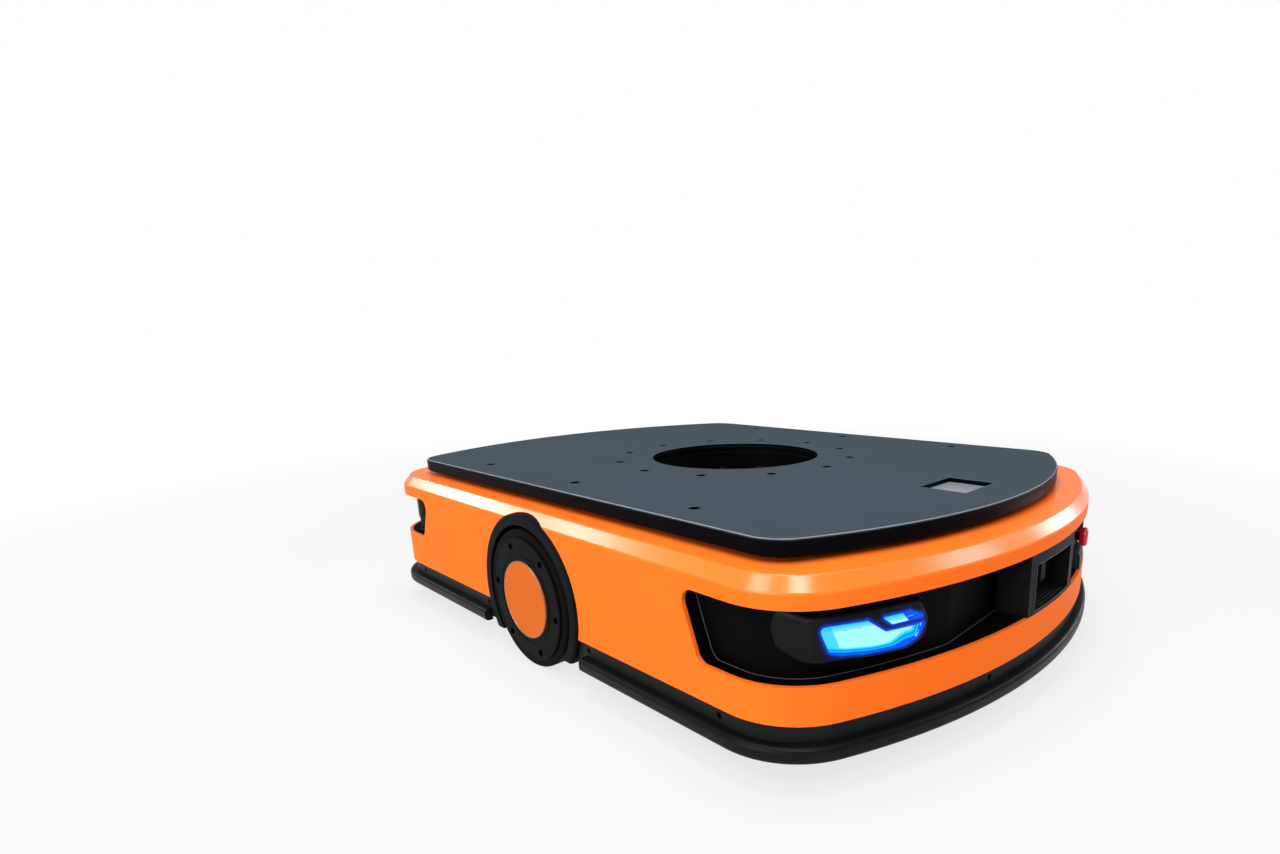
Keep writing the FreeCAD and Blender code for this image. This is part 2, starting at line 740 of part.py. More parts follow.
def make_caster_fork(sx, sy):
    """Fork that trails behind its kingpin, with the wheel's axle fixed in it."""
    x, y = sx * caster_x, sy * caster_y
    wheel_x = x - caster_trail
    half = caster_wheel_width / 2 + fork_gap + fork_wall
    nut_base = fork_top + 2 * fork_gap + caster_plate_thickness
    crown = rod(fork_crown_radius, fork_wall, Vector(x, y, fork_top - fork_wall))
    pin = rod(kingpin_radius, nut_base - fork_top + nut_thickness, Vector(x, y, fork_top))
    nut = rod(kingpin_radius + nut_margin, nut_thickness, Vector(x, y, nut_base))
    fork = crown.fuse([pin, nut])
    for s in (-1, 1):
        y0, y1 = sorted((y + s * half, y + s * (half - fork_wall)))
        low = Vector(wheel_x, y0, caster_wheel_radius)
        corners = [Vector(wheel_x - fork_blade_end, y0, caster_wheel_radius),
                   Vector(wheel_x + fork_blade_end, y0, caster_wheel_radius),
                   Vector(x + fork_blade_top, y0, fork_top), Vector(x - fork_blade_top, y0, fork_top)]
        blade = polygon_prism(corners, Vector(0, fork_wall, 0))
        fork = fork.fuse([blade, rod(fork_blade_end, fork_wall, low, Vector(0, 1, 0))])
    axle = rod(caster_axle_radius, 2 * half, Vector(wheel_x, y - half, caster_wheel_radius), Vector(0, 1, 0))
    return fork.fuse(axle).removeSplitter()


def make_caster_wheel(sx, sy):
    x, y = sx * caster_x - caster_trail, sy * caster_y
    base = Vector(x, y - caster_wheel_width / 2, caster_wheel_radius)
    wheel = rod(caster_wheel_radius, caster_wheel_width, base, Vector(0, 1, 0))
    wheel = wheel.makeFillet(3.0, [e for e in wheel.Edges if e.BoundBox.YLength < 0.01])
    return wheel.cut(rod(caster_axle_radius + running_gap, caster_wheel_width, base, Vector(0, 1, 0)))


# ---------------------------------------------------------------- lidar
def lidar_spot(height=0.0):
    """Point on the scanner's axis, at a height above the front slot's floor."""
    return Vector(lidar_x, lidar_y, front_slot_bottom + height)


def make_lidar_base():
    solid = rod(lidar_radius + lidar_base_margin, lidar_base_height, lidar_spot())
    return solid.fuse(rod(lidar_spindle_radius, lidar_base_height + lidar_spindle_height, lidar_spot()))


def make_lidar_cover():
    height = slot_top - front_slot_bottom - lidar_base_height
    base = lidar_spot(lidar_base_height)
    solid = rod(lidar_radius, height, base)
    return solid.cut(rod(lidar_radius - lidar_wall, height - lidar_wall, base))


def make_lidar_rotor():
    base = lidar_spot(lidar_base_height + lidar_rotor_lift)
    rotor = rod(lidar_rotor_radius, lidar_rotor_height, base)
    mirror = box(base.x + lidar_mirror_offset, base.x + lidar_rotor_radius,
                 base.y - lidar_rotor_radius, base.y + lidar_rotor_radius,
                 base.z + lidar_mirror_margin, base.z + lidar_rotor_height - lidar_mirror_margin)
    return rotor.cut(mirror).cut(rod(lidar_spindle_radius + running_gap, lidar_spindle_height, base))


# ---------------------------------------------------------------- control panel
def end_turned(shape, y, z, end=front, inset=0.0):
    """Moves a shape built along +X at the origin to the end arc, facing outwards."""
    angle = math.degrees(math.asin(y / body_end_radius))
    shape.rotate(Vector(0, 0, 0), Vector(0, 0, 1), angle)
    shape.translate(Vector(end_x(y, inset), y, z))
    if end == rear:
        shape = shape.mirror(Vector(0, 0, 0), Vector(1, 0, 0))
    return shape


def stop_neck_bore(grow=0.0):
    reach = console_inset + 2 * stop_neck_length
    return rod(stop_neck_radius + grow, 2 * reach, Vector(-reach, 0, 0), Vector(1, 0, 0))


def button_bore():
    return rod(button_radius + running_gap, 2 * button_length, Vector(-button_length, 0, 0), Vector(1, 0, 0))


def make_control_panel():
    ring = body_ring(panel_inset, panel_inset + panel_thickness, shell_bottom, panel_top)
    panel = ring.common(panel_cutter())
    cuts = [end_turned(stop_neck_bore(), stop_y, stop_z)]
    for y in button_y:
        cuts.append(end_turned(button_bore(), y, button_z))
    return panel.cut(Part.makeCompound(cuts))


def make_stop_badge():
    """Plate behind the stop button: square at one end, slanted at the other."""
    z0 = shell_bottom + badge_margin
    z1 = panel_top - badge_margin
    points = [Vector(0, badge_inner_y, z0), Vector(0, badge_bottom_y, z0),
              Vector(0, badge_top_y, z1), Vector(0, badge_inner_y, z1)]
    outline = polygon_prism(points, Vector(far, 0, 0))
    corners = [e for e in outline.Edges if e.BoundBox.YLength < 0.01 and e.BoundBox.ZLength < 0.01]
    outline = outline.makeFillet(badge_corner_radius, corners)
    badge = body_ring(panel_inset - badge_thickness, panel_inset - film_gap, z0, z1).common(outline)
    return badge.cut(end_turned(stop_neck_bore(), stop_y, stop_z))


def make_button_bezel():
    """Pill-shaped surround with one hole for each button."""
    radius = button_radius + bezel_margin
    y0, y1 = min(button_y), max(button_y)
    pill = box(0, far, y0, y1, button_z - radius, button_z + radius)
    for y in (y0, y1):
        pill = pill.fuse(rod(radius, far, Vector(0, y, button_z), Vector(1, 0, 0)))
    ring = body_ring(panel_inset - bezel_proud, panel_inset, button_z - radius, button_z + radius)
    bezel = ring.common(pill)
    holes = []
    for y in button_y:
        holes.append(end_turned(button_bore(), y, button_z))
    return bezel.cut(Part.makeCompound(holes))


def round_front_rim(solid, back_x, radius):
    """Rounds the edge of a round face that lies in front of back_x."""
    rim = [e for e in solid.Edges if e.BoundBox.XLength < 0.01 and e.BoundBox.XMin > back_x + radius]
    return solid.makeFillet(radius, rim)


def make_button(y):
    top = -panel_inset + button_height + bezel_proud
    cap = rod(button_radius, button_length, Vector(top - button_length, 0, 0), Vector(1, 0, 0))
    return end_turned(round_front_rim(cap, top - button_length, button_edge_radius), y, button_z)


def make_stop_collar(y, z, end, face):
    """Fixed collar with a neck that holds the stem; face is its seat along the normal."""
    along = Vector(1, 0, 0)
    collar = rod(stop_collar_radius, stop_collar_height, Vector(face, 0, 0), along)
    collar = round_front_rim(collar, face, collar_edge_radius)
    neck = rod(stop_neck_radius, stop_neck_length, Vector(face - stop_neck_length, 0, 0), along)
    bore_start = Vector(face - 2 * stop_neck_length, 0, 0)
    bore = rod(stop_stem_radius + running_gap, 4 * stop_neck_length, bore_start, along)
    return end_turned(collar.fuse(neck).cut(bore), y, z, end)


def make_stop_stem(y, z, end, face):
    top = stop_head_base(face) + stop_head_height / 2
    stem = rod(stop_stem_radius, stop_stem_length, Vector(top - stop_stem_length, 0, 0), Vector(1, 0, 0))
    return end_turned(stem, y, z, end)


def stop_head_base(face):
    return face + stop_collar_height + stop_travel + stop_rest_gap


def make_stop_head(y, z, end, face):
    base = stop_head_base(face)
    head = rod(stop_head_radius, stop_head_height, Vector(base, 0, 0), Vector(1, 0, 0))
    head = round_front_rim(head, base, stop_edge_radius)
    socket = rod(stop_stem_radius + running_gap, stop_head_height / 2 + running_gap, Vector(base, 0, 0),
                 Vector(1, 0, 0))
    return end_turned(head.cut(socket), y, z, end)


# ---------------------------------------------------------------- rear docking bay
def slot_block(inset, y0, y1, z0, z1):
    """Block in the rear slot, from its flat back wall out to an inset of the outline."""
    return body_prism(inset, z0, z1).common(box(-far, -recess_x, y0, y1, z0, z1))


def bay_back_x(inset=0.0):
    return bay_inset + bay_depth + inset - end_x(bay_half_width)


def make_rear_bay_frame():
    """Block across the middle of the rear slot, with the docking recess in it."""
    z0, z1 = rear_slot_bottom, slot_top
    block = slot_block(bay_inset, -bay_half_width, bay_half_width, z0, z1)
    half = bay_half_width - bay_side_bar
    return block.cut(box(-far, bay_back_x(), -half, half, z0 + bay_bottom_bar, z1 - bay_top_bar))


def make_rear_stop_console():
    """Block that carries the rear stop button, with a rounded sill below it."""
    y0, y1 = rear_stop_y - console_width / 2, rear_stop_y + console_width / 2
    z0, z1 = rear_slot_bottom, rear_slot_bottom + console_sill_height
    sill = slot_block(console_sill_inset, y0, y1, z0, z1)
    outline = body_ring(console_sill_inset - 1.0, console_sill_inset + 1.0, z0, z1)
    sill = sill.makeFillet(console_edge_radius, [e for e in level_edges(sill, z1)
                                                 if outline.isInside(e.CenterOfMass, 0.1, True)])
    block = sill.fuse(slot_block(console_inset, y0, y1, z0, slot_top)).removeSplitter()
    return block.cut(end_turned(stop_neck_bore(), rear_stop_y, rear_stop_z, rear))


def make_charge_contacts():
    """Two flat contacts on the back wall of the docking recess."""
    z = (rear_slot_bottom + bay_bottom_bar + slot_top - bay_top_bar) / 2
    solids = []
    for y in (-contact_spacing / 2, contact_spacing / 2):
        solids.append(box(bay_back_x(-contact_height), bay_back_x(),
                          y - contact_width / 2, y + contact_width / 2,
                          z - contact_length / 2, z + contact_length / 2))
    return Part.makeCompound(solids)


# ---------------------------------------------------------------- inner equipment
def equipment_box(end, height):
    """Rounded case on the pan, from the lift columns towards a slot's back wall."""
    half = equipment_width / 2
    x0, x1 = sorted((end * equipment_outer_x, end * equipment_inner_x))
    case = box(x0, x1, -half, half, pan_top, pan_top + height)
    return case.makeFillet(case_edge_radius, [e for e in case.Edges if e.BoundBox.ZLength > height / 2])


def make_upward_camera():
    """Camera that looks up through the centre hole, on its post."""
    z0 = camera_top - camera_height
    case = rod(camera_radius, camera_height, Vector(0, 0, z0))
    case = case.cut(rod(camera_lens_radius, far, Vector(0, 0, camera_top - camera_lens_depth)))
    foot = rod(camera_radius, camera_foot_thickness, Vector(0, 0, pan_top))
    return case.fuse([foot, rod(camera_post_radius, z0 - pan_top, Vector(0, 0, pan_top))])


# ---------------------------------------------------------------- write every node
save("body_shell", make_body_shell())
save("front_slot_liner", make_slot_liner(front))
save("rear_slot_liner", make_slot_liner(rear))
save("headlight_housings", make_at_corners(make_pod))
save("headlight_lenses", make_at_corners(make_lens))
save("chassis_pan", make_chassis_pan())
save("lower_skirt", make_lower_skirt())
save("front_bumper", make_bumper(front))
save("rear_bumper", make_bumper(rear))
save("top_plate", make_top_plate())
save("window_pane", make_window_pane())
save("hole_liner", make_hole_liner())
save("lift_frame", make_lift_frame())
save("lift_rods", make_lift_rods())
save("lift_barrels", make_lift_barrels())
for word, side in (("left", left), ("right", right)):
    save(word + "_tyre", make_tyre(side))
    save(word + "_wheel_disc", make_wheel_disc(side))
    save(word + "_hub_cap", make_hub_cap(side))
    save(word + "_axle", make_axle(side))
    save(word + "_gearbox", make_gearbox(side))
    save(word + "_drive_motor", make_motor(side))
    save(word + "_wheel_arch", make_wheel_arch(side))
save("drive_brackets", make_drive_brackets())
save("caster_plates", make_caster_plates())
for word, sx, sy in caster_places():
    save(word + "_caster_fork", make_caster_fork(sx, sy))
    save(word + "_caster_wheel", make_caster_wheel(sx, sy))
save("lidar_base", make_lidar_base())
save("lidar_cover", make_lidar_cover())
save("lidar_rotor", make_lidar_rotor())
save("control_panel", make_control_panel())
save("stop_badge", make_stop_badge())
save("button_bezel", make_button_bezel())
for word, y in zip(("power", "reset", "brake_release"), button_y):
    save(word + "_button", make_button(y))
stop_face = -panel_inset + badge_thickness
save("front_stop_collar", make_stop_collar(stop_y, stop_z, front, stop_face))
save("front_stop_stem", make_stop_stem(stop_y, stop_z, front, stop_face))
save("front_stop_head", make_stop_head(stop_y, stop_z, front, stop_face))
stop_face = -console_inset
save("rear_stop_collar", make_stop_collar(rear_stop_y, rear_stop_z, rear, stop_face))
save("rear_stop_stem", make_stop_stem(rear_stop_y, rear_stop_z, rear, stop_face))
save("rear_stop_head", make_stop_head(rear_stop_y, rear_stop_z, rear, stop_face))
save("rear_stop_console", make_rear_stop_console())
save("rear_bay_frame", make_rear_bay_frame())
save("charge_contacts", make_charge_contacts())
save("battery_pack", equipment_box(rear, battery_height))
save("controller_box", equipment_box(front, controller_height))
save("upward_camera", make_upward_camera())
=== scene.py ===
import math

import bmesh
import bpy
from mathutils import Matrix, Vector


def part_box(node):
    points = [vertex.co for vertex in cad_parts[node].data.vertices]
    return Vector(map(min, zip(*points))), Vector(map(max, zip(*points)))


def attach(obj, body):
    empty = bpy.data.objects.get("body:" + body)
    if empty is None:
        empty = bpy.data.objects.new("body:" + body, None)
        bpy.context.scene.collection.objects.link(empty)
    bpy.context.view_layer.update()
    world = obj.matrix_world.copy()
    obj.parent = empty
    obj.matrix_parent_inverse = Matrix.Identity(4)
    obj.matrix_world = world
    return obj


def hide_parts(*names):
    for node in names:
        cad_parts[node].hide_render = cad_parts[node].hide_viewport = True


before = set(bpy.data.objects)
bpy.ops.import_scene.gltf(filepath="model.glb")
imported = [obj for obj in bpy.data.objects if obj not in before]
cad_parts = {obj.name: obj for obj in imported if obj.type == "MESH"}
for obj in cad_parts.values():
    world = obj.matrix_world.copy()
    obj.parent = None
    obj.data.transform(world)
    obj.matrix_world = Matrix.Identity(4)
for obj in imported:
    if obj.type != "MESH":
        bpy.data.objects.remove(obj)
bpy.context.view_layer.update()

MM = 0.001
FRONT, REAR = 1, -1
LEFT, RIGHT = 1, -1


# ---- shader maths
class Value:
    """A node's output, so that shader maths reads as plain expressions."""

    def __init__(self, finish, socket):
        self.finish = finish
        self.socket = socket

    def maths(self, operation, *values):
        return self.finish.node("ShaderNodeMath", {"operation": operation}, *values)

    def __add__(self, other):
        return self.maths("ADD", self, other)

    def __radd__(self, other):
        return self.maths("ADD", other, self)

    def __sub__(self, other):
        return self.maths("SUBTRACT", self, other)

    def __rsub__(self, other):
        return self.maths("SUBTRACT", other, self)

    def __mul__(self, other):
        return self.maths("MULTIPLY", self, other)

    def __rmul__(self, other):
        return self.maths("MULTIPLY", other, self)

    def step(self, low, high):
        """0 below low, 1 above high and smooth between them."""
        return self.finish.node("ShaderNodeMapRange", {"interpolation_type": "SMOOTHSTEP"},
                                self, low, high, 0.0, 1.0)


# The colour mix node's sockets go by number, as its socket names repeat.
MIX_FACTOR, MIX_FIRST, MIX_SECOND, MIX_RESULT = 0, 6, 7, 2


class Finish:
    """A material in the making: one Principled shader and the nodes that feed it."""

    def __init__(self, name, **constants):
        self.material = bpy.data.materials.new(name)
        self.material.use_nodes = True
        self.tree = self.material.node_tree
        self.shader = next(n for n in self.tree.nodes if n.type == "BSDF_PRINCIPLED")
        for socket, value in constants.items():
            self.set(socket.replace("_", " "), value)

    def feed(self, socket, value):
        if isinstance(value, Value):
            self.tree.links.new(value.socket, socket)
        elif isinstance(value, tuple) and len(value) == 3 and len(socket.default_value) == 4:
            socket.default_value = (*value, 1.0)
        else:
            socket.default_value = value

    def node(self, kind, settings, *values, out=0, at=None, **named):
        """Any node: settings, then values or links for its sockets in order, by number or by name."""
        node = self.tree.nodes.new(kind)
        for key, value in settings.items():
            setattr(node, key, value)
        for index, value in list(enumerate(values)) + list((at or {}).items()):
            self.feed(node.inputs[index], value)
        for key, value in named.items():
            self.feed(node.inputs[key.replace("_", " ")], value)
        return Value(self, node.outputs[out])

    def set(self, socket, value):
        self.feed(self.shader.inputs[socket], value)
        return self

    def place(self, stretch=(1.0, 1.0, 1.0)):
        """Position on the robot in metres, stretched along some axes."""
        spot = self.node("ShaderNodeTexCoord", {}, out="Object")
        if stretch == (1.0, 1.0, 1.0):
            return spot
        return self.node("ShaderNodeVectorMath", {"operation": "MULTIPLY"}, spot, stretch)

    def level(self):
        """Height above the floor in metres."""
        return self.node("ShaderNodeSeparateXYZ", {}, self.place(), out="Z")

    def distance(self, stretch=(1.0, 1.0, 1.0)):
        """Distance from the robot's centre on the floor in metres."""
        return self.node("ShaderNodeVectorMath", {"operation": "LENGTH"}, self.place(stretch), out="Value")

    def upwards(self):
        """1 where the surface faces up and 0 where it stands upright."""
        normal = self.node("ShaderNodeNewGeometry", {}, out="Normal")
        return self.node("ShaderNodeSeparateXYZ", {}, normal, out="Z")

    def grain(self, scale, detail=3.0, stretch=(1.0, 1.0, 1.0), roughness=0.5):
        return self.node("ShaderNodeTexNoise", {}, Vector=self.place(stretch), Scale=scale,
                         Detail=detail, Roughness=roughness)

    def cells(self, scale):
        return self.node("ShaderNodeTexVoronoi", {}, Vector=self.place(), Scale=scale, out="Distance")

    def painted_in(self, attribute):
        """A number kept on each point of the mesh."""
        return self.node("ShaderNodeAttribute", {"attribute_name": attribute}, out="Fac")

    def blend(self, factor, first, second):
        mixed = {MIX_FACTOR: factor, MIX_FIRST: first, MIX_SECOND: second}
        return self.node("ShaderNodeMix", {"data_type": "RGBA"}, at=mixed, out=MIX_RESULT)

    def relief(self, height, distance, strength=1.0):
        """Height in units of distance, as bumps on the surface."""
        bump = self.node("ShaderNodeBump", {}, Strength=strength, Distance=distance, Height=height)
        return self.set("Normal", bump)


def tinted(colour, times, plus=0.0):
    """The colour made lighter or darker, with no channel over 1."""
    return tuple(min(1.0, c * times + plus) for c in colour)


def scuffs(finish, amount):
    """Faint long scratches that come in patches."""
    lines = finish.grain(60.0, 6.0, (1.0, 1.0, 14.0), 0.6).step(0.60, 0.72)
    patches = finish.grain(6.0, 2.0).step(0.48, 0.66)
    return lines * patches * amount


PAINT_DUST = (0.62, 0.26, 0.08)
# Near-black painted shade for the body's inside, within a radius of its axis and under its top.
INSIDE_SHADE = (0.006, 0.006, 0.007)
INSIDE_SHADE_RADIUS, INSIDE_SHADE_EDGE = 0.300, 0.302       # metres from the robot's axis


def satin_paint(name, colour, shade, roughness, shaded_below=None):
    """Sprayed paint: a slight orange peel, uneven film, scuffs, dust low down and polish on sloping faces.

    Within a radius of the robot's axis it is painted near black below the level given, as painted shade
    inside the body.
    """
    f = Finish(name, Specular_IOR_Level=0.01, Coat_Roughness=0.23)
    film = f.grain(7.0, 3.0).step(0.3, 0.75)
    peel = f.grain(420.0, 2.0)
    wear = scuffs(f, 0.35)
    low = (1.0 - f.level().step(0.03, 0.10)) * f.grain(30.0, 5.0).step(0.35, 0.8)
    coat = f.blend(film, colour, shade)
    coat = f.blend(low * 0.12, coat, PAINT_DUST)
    # Painted shade: near black inside the body's opening, below its top.
    if shaded_below:
        near = 1.0 - f.distance((1.0, 1.0, 0.0)).step(INSIDE_SHADE_RADIUS, INSIDE_SHADE_EDGE)
        below = 1.0 - f.level().step(shaded_below - 0.8 * MM, shaded_below - 0.4 * MM)
        coat = f.blend(near * below, coat, INSIDE_SHADE)
    f.set("Base Color", f.blend(wear * 0.3, coat, tinted(colour, 1.04, 0.03)))
    f.set("Coat Weight", f.upwards().step(0.15, 0.45) * (0.95 - wear * 0.5))
    f.set("Roughness", roughness + film * 0.06 + wear * 0.35 + low * 0.2)
    return f.relief(peel + wear * -0.6, 0.00006).material


def powder_coat(name, colour, roughness=0.55, speck=0.35, size=1400.0, shine=0.12):
    """Fine matt powder coat with lighter specks."""
    f = Finish(name, Specular_IOR_Level=shine)
    powder = f.grain(size, 3.0, roughness=0.7)
    clouds = f.grain(4.0, 4.0).step(0.3, 0.8)
    wear = scuffs(f, 0.5)
    specks = powder.step(0.56, 0.70)
    light = tinted(colour, 1.0 + 2.2 * speck, 0.012 * speck)
    coat = f.blend(specks * 0.6, f.blend(clouds, colour, tinted(colour, 0.86)), light)
    f.set("Base Color", f.blend(wear * 0.35, coat, tinted(colour, 1.8, 0.01)))
    f.set("Roughness", roughness + powder * 0.12 - wear * 0.15)
    return f.relief(powder, 0.00009).material


def plate_coat(name, top, side, edge):
    """Speckled coat on the plate's top and smoother round its side, with painted shade darkening the side and
    a painted highlight along the chamfered top edge.
    """
    f = Finish(name, Specular_IOR_Level=0.015)
    facing = f.upwards()
    flat = facing.step(0.90, 0.99)
    top_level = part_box("top_plate")[1][2]
    # Painted highlight: the chamfer takes a bright colour, strongest next to the top face.
    chamfer_highlight = facing.step(0.30, 0.45) * (1.0 - facing.step(0.80, 0.93))
    chamfer_highlight = chamfer_highlight * (0.12 + 0.88 * f.level().step(top_level - 0.9 * MM, top_level - 0.6 * MM))
    powder = f.grain(1300.0, 3.0, roughness=0.7)
    clouds = f.grain(4.0, 4.0).step(0.3, 0.8)
    wear = scuffs(f, 0.5)
    clouded = f.blend(clouds * 0.6, top, tinted(top, 0.88))
    speckled = f.blend(powder.step(0.56, 0.70) * 0.5, clouded, tinted(top, 1.5))
    speckled = f.blend(wear * 0.3, speckled, tinted(top, 1.7))
    # Painted shade: the side takes a darker colour than the top.
    coat = f.blend(flat, side, speckled)
    f.set("Base Color", f.blend(chamfer_highlight * (0.6 + f.grain(90.0, 3.0) * 0.6), coat, edge))
    f.set("Roughness", 0.30 + flat * 0.18 + powder * 0.1 - wear * 0.1)
    return f.relief(powder * (0.15 + flat * 0.85), 0.00009).material


def moulded(name, colour, roughness=0.45, texture=900.0, depth=0.00008, shine=0.10):
    """Moulded plastic with a fine leather-like texture."""
    f = Finish(name, Specular_IOR_Level=shine)
    pits = f.cells(texture)
    flow = f.grain(5.0, 3.0).step(0.3, 0.75)
    wear = scuffs(f, 0.4)
    coat = f.blend(flow * 0.5, colour, tinted(colour, 1.35, 0.002))
    f.set("Base Color", f.blend(wear, coat, tinted(colour, 2.0, 0.01)))
    f.set("Roughness", roughness + pits * 0.15 + wear * 0.2)
    return f.relief(pits, depth).material


def glossy(name, colour, roughness=0.12, coat=0.6, dusty=0.25):
    """Polished plastic with faint waves and fine dust."""
    f = Finish(name, Coat_Weight=coat, Coat_Roughness=0.06)
    waves = f.grain(45.0, 2.0)
    motes = f.grain(1700.0, 2.0).step(0.68, 0.76)
    f.set("Base Color", f.blend(motes * dusty, colour, tinted(colour, 1.0, 0.08)))
    f.set("Roughness", roughness + motes * 0.3 + waves * 0.05)
    return f.relief(waves, 0.00012).material


def rubber(name, colour, roughness=0.55, shine=0.14):
    """Rubber with drawn-out streaks and a grey bloom."""
    f = Finish(name, Specular_IOR_Level=shine)
    streaks = f.grain(70.0, 5.0, (1.0, 1.0, 10.0))
    bloom = f.grain(14.0, 4.0).step(0.42, 0.78)
    fine = f.grain(1100.0, 3.0)
    coat = f.blend(bloom * 0.6, colour, tinted(colour, 1.8, 0.001))
    f.set("Base Color", f.blend(streaks.step(0.55, 0.75) * 0.3, coat, tinted(colour, 0.6)))
    f.set("Roughness", roughness + bloom * 0.12 + fine * 0.1)
    return f.relief(fine * 0.5 + streaks, 0.00012).material


def metal(name, colour, roughness=0.3, along=(1.0, 1.0, 30.0), size=40.0):
    """Worked metal with tool lines across one axis."""
    f = Finish(name, Metallic=1.0)
    lines = f.grain(size, 4.0, along)
    stain = f.grain(12.0, 4.0).step(0.4, 0.8)
    f.set("Base Color", f.blend(stain * 0.5, colour, tinted(colour, 0.78)))
    f.set("Roughness", roughness + lines * 0.14 + stain * 0.1)
    return f.relief(lines, 0.00005).material


def cast_metal(name, colour, roughness=0.42):
    """Cast metal with small pits."""
    f = Finish(name, Metallic=1.0)
    pits = f.cells(650.0)
    stain = f.grain(16.0, 4.0).step(0.4, 0.8)
    f.set("Base Color", f.blend(stain * 0.5, colour, tinted(colour, 0.75)))
    f.set("Roughness", roughness + pits * 0.15 + stain * 0.08)
    return f.relief(pits, 0.0001).material


LENS_DEEP, LENS_BLUE, LENS_CYAN = (0.0, 0.10, 1.0), (0.0, 0.30, 1.0), (0.0, 0.64, 1.0)
LENS_PALE, LENS_HIGHLIGHT = (0.40, 1.0, 1.0), (1.0, 1.0, 1.0)


def lit_lens(name):
    """Clear lens over a lit bar: pale core, cyan end and upper face, blue steps along the foot and inner end,
    and painted white highlights on the crease and the inner end.

    Each attribute is a distance in millimetres on the lens; see the headlights below.
    """
    f = Finish(name, Emission_Strength=1.0, Specular_IOR_Level=0.03)
    keys = ("depth", "foot", "crease", "heel", "chip", "end")
    depth, foot, crease, heel, chip, end = (f.painted_in(key) for key in keys)
    ripple = f.grain(160.0, 3.0, (1.0, 1.0, 0.3))
    highlight_breaks = f.grain(300.0, 2.0, (1.0, 1.0, 0.4)).step(0.44, 0.54)
    foot = foot + (ripple - 0.5) * 0.5
    glow = f.blend(foot.step(5.4, 7.6), LENS_CYAN, LENS_PALE)
    glow = f.blend((1.0 - heel.step(9.0, 11.0)) * 0.8, glow, LENS_CYAN)
    upper = crease.step(0.2, 0.5)
    glow = f.blend(upper * (0.5 + crease.step(0.5, 4.0) * 0.4), glow, LENS_CYAN)
    glow = f.blend(crease.step(-0.35, -0.1) * (1.0 - crease.step(0.1, 0.35)) * 0.7, glow, LENS_BLUE)
    glow = f.blend(1.0 - foot.step(4.7, 5.4), glow, LENS_BLUE)
    glow = f.blend(foot.step(3.1, 3.4) * (1.0 - foot.step(3.9, 4.2)), glow, LENS_CYAN)
    glow = f.blend(1.0 - foot.step(2.8, 3.3), glow, LENS_DEEP)
    glow = f.blend(chip.step(0.4, 0.6), glow, LENS_DEEP)
    # Painted highlights: a broken white line along the crease and a white streak at the inner end.
    line = crease.step(-0.2, -0.05) * (1.0 - crease.step(0.05, 0.2))
    end_highlight = end.step(4.3, 4.6) * (1.0 - end.step(5.2, 5.6))
    glow = f.blend(line * highlight_breaks * 0.8 + end_highlight * highlight_breaks * 0.9, glow, LENS_HIGHLIGHT)
    glow = f.blend(1.0 - depth.step(0.2, 1.1), glow, LENS_DEEP)
    f.set("Base Color", f.blend(depth.step(0.0, 3.0), (0.0, 0.002, 0.01), (0.0, 0.006, 0.01)))
    f.set("Emission Color", glow)
    f.set("Roughness", 0.12 + ripple * 0.05)
    return f.relief(ripple, 0.00005).material


def lit_plastic(name, colour, lit):
    """Dark plastic with the lens's light beside it painted on as a glow in its emission."""
    f = Finish(name, Emission_Strength=1.0, Specular_IOR_Level=0.12)
    pits = f.cells(800.0)
    flow = f.grain(9.0, 3.0).step(0.3, 0.75)
    halo = f.painted_in("halo")
    f.set("Base Color", f.blend(flow * 0.5, colour, tinted(colour, 1.5)))
    # Painted light: the halo glows in the emission.
    f.set("Emission Color", f.blend(halo, (0.0, 0.0, 0.0), lit))
    f.set("Roughness", 0.34 + pits * 0.12 + flow * 0.05)
    return f.relief(pits, 0.00005).material


ORANGE, ORANGE_SHADE = (0.97, 0.168, 0.017), (0.95, 0.156, 0.015)
CAP_ORANGE, CAP_SHADE = (0.57, 0.118, 0.015), (0.56, 0.113, 0.014)
# The plate's side colour is painted shade and its edge colour a painted highlight.
SLATE_TOP, SLATE_SIDE_SHADE, SLATE_EDGE_HIGHLIGHT = (0.038, 0.047, 0.058), (0.0016, 0.0022, 0.0034), (0.20, 0.22, 0.25)
body_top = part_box("body_shell")[1][2]
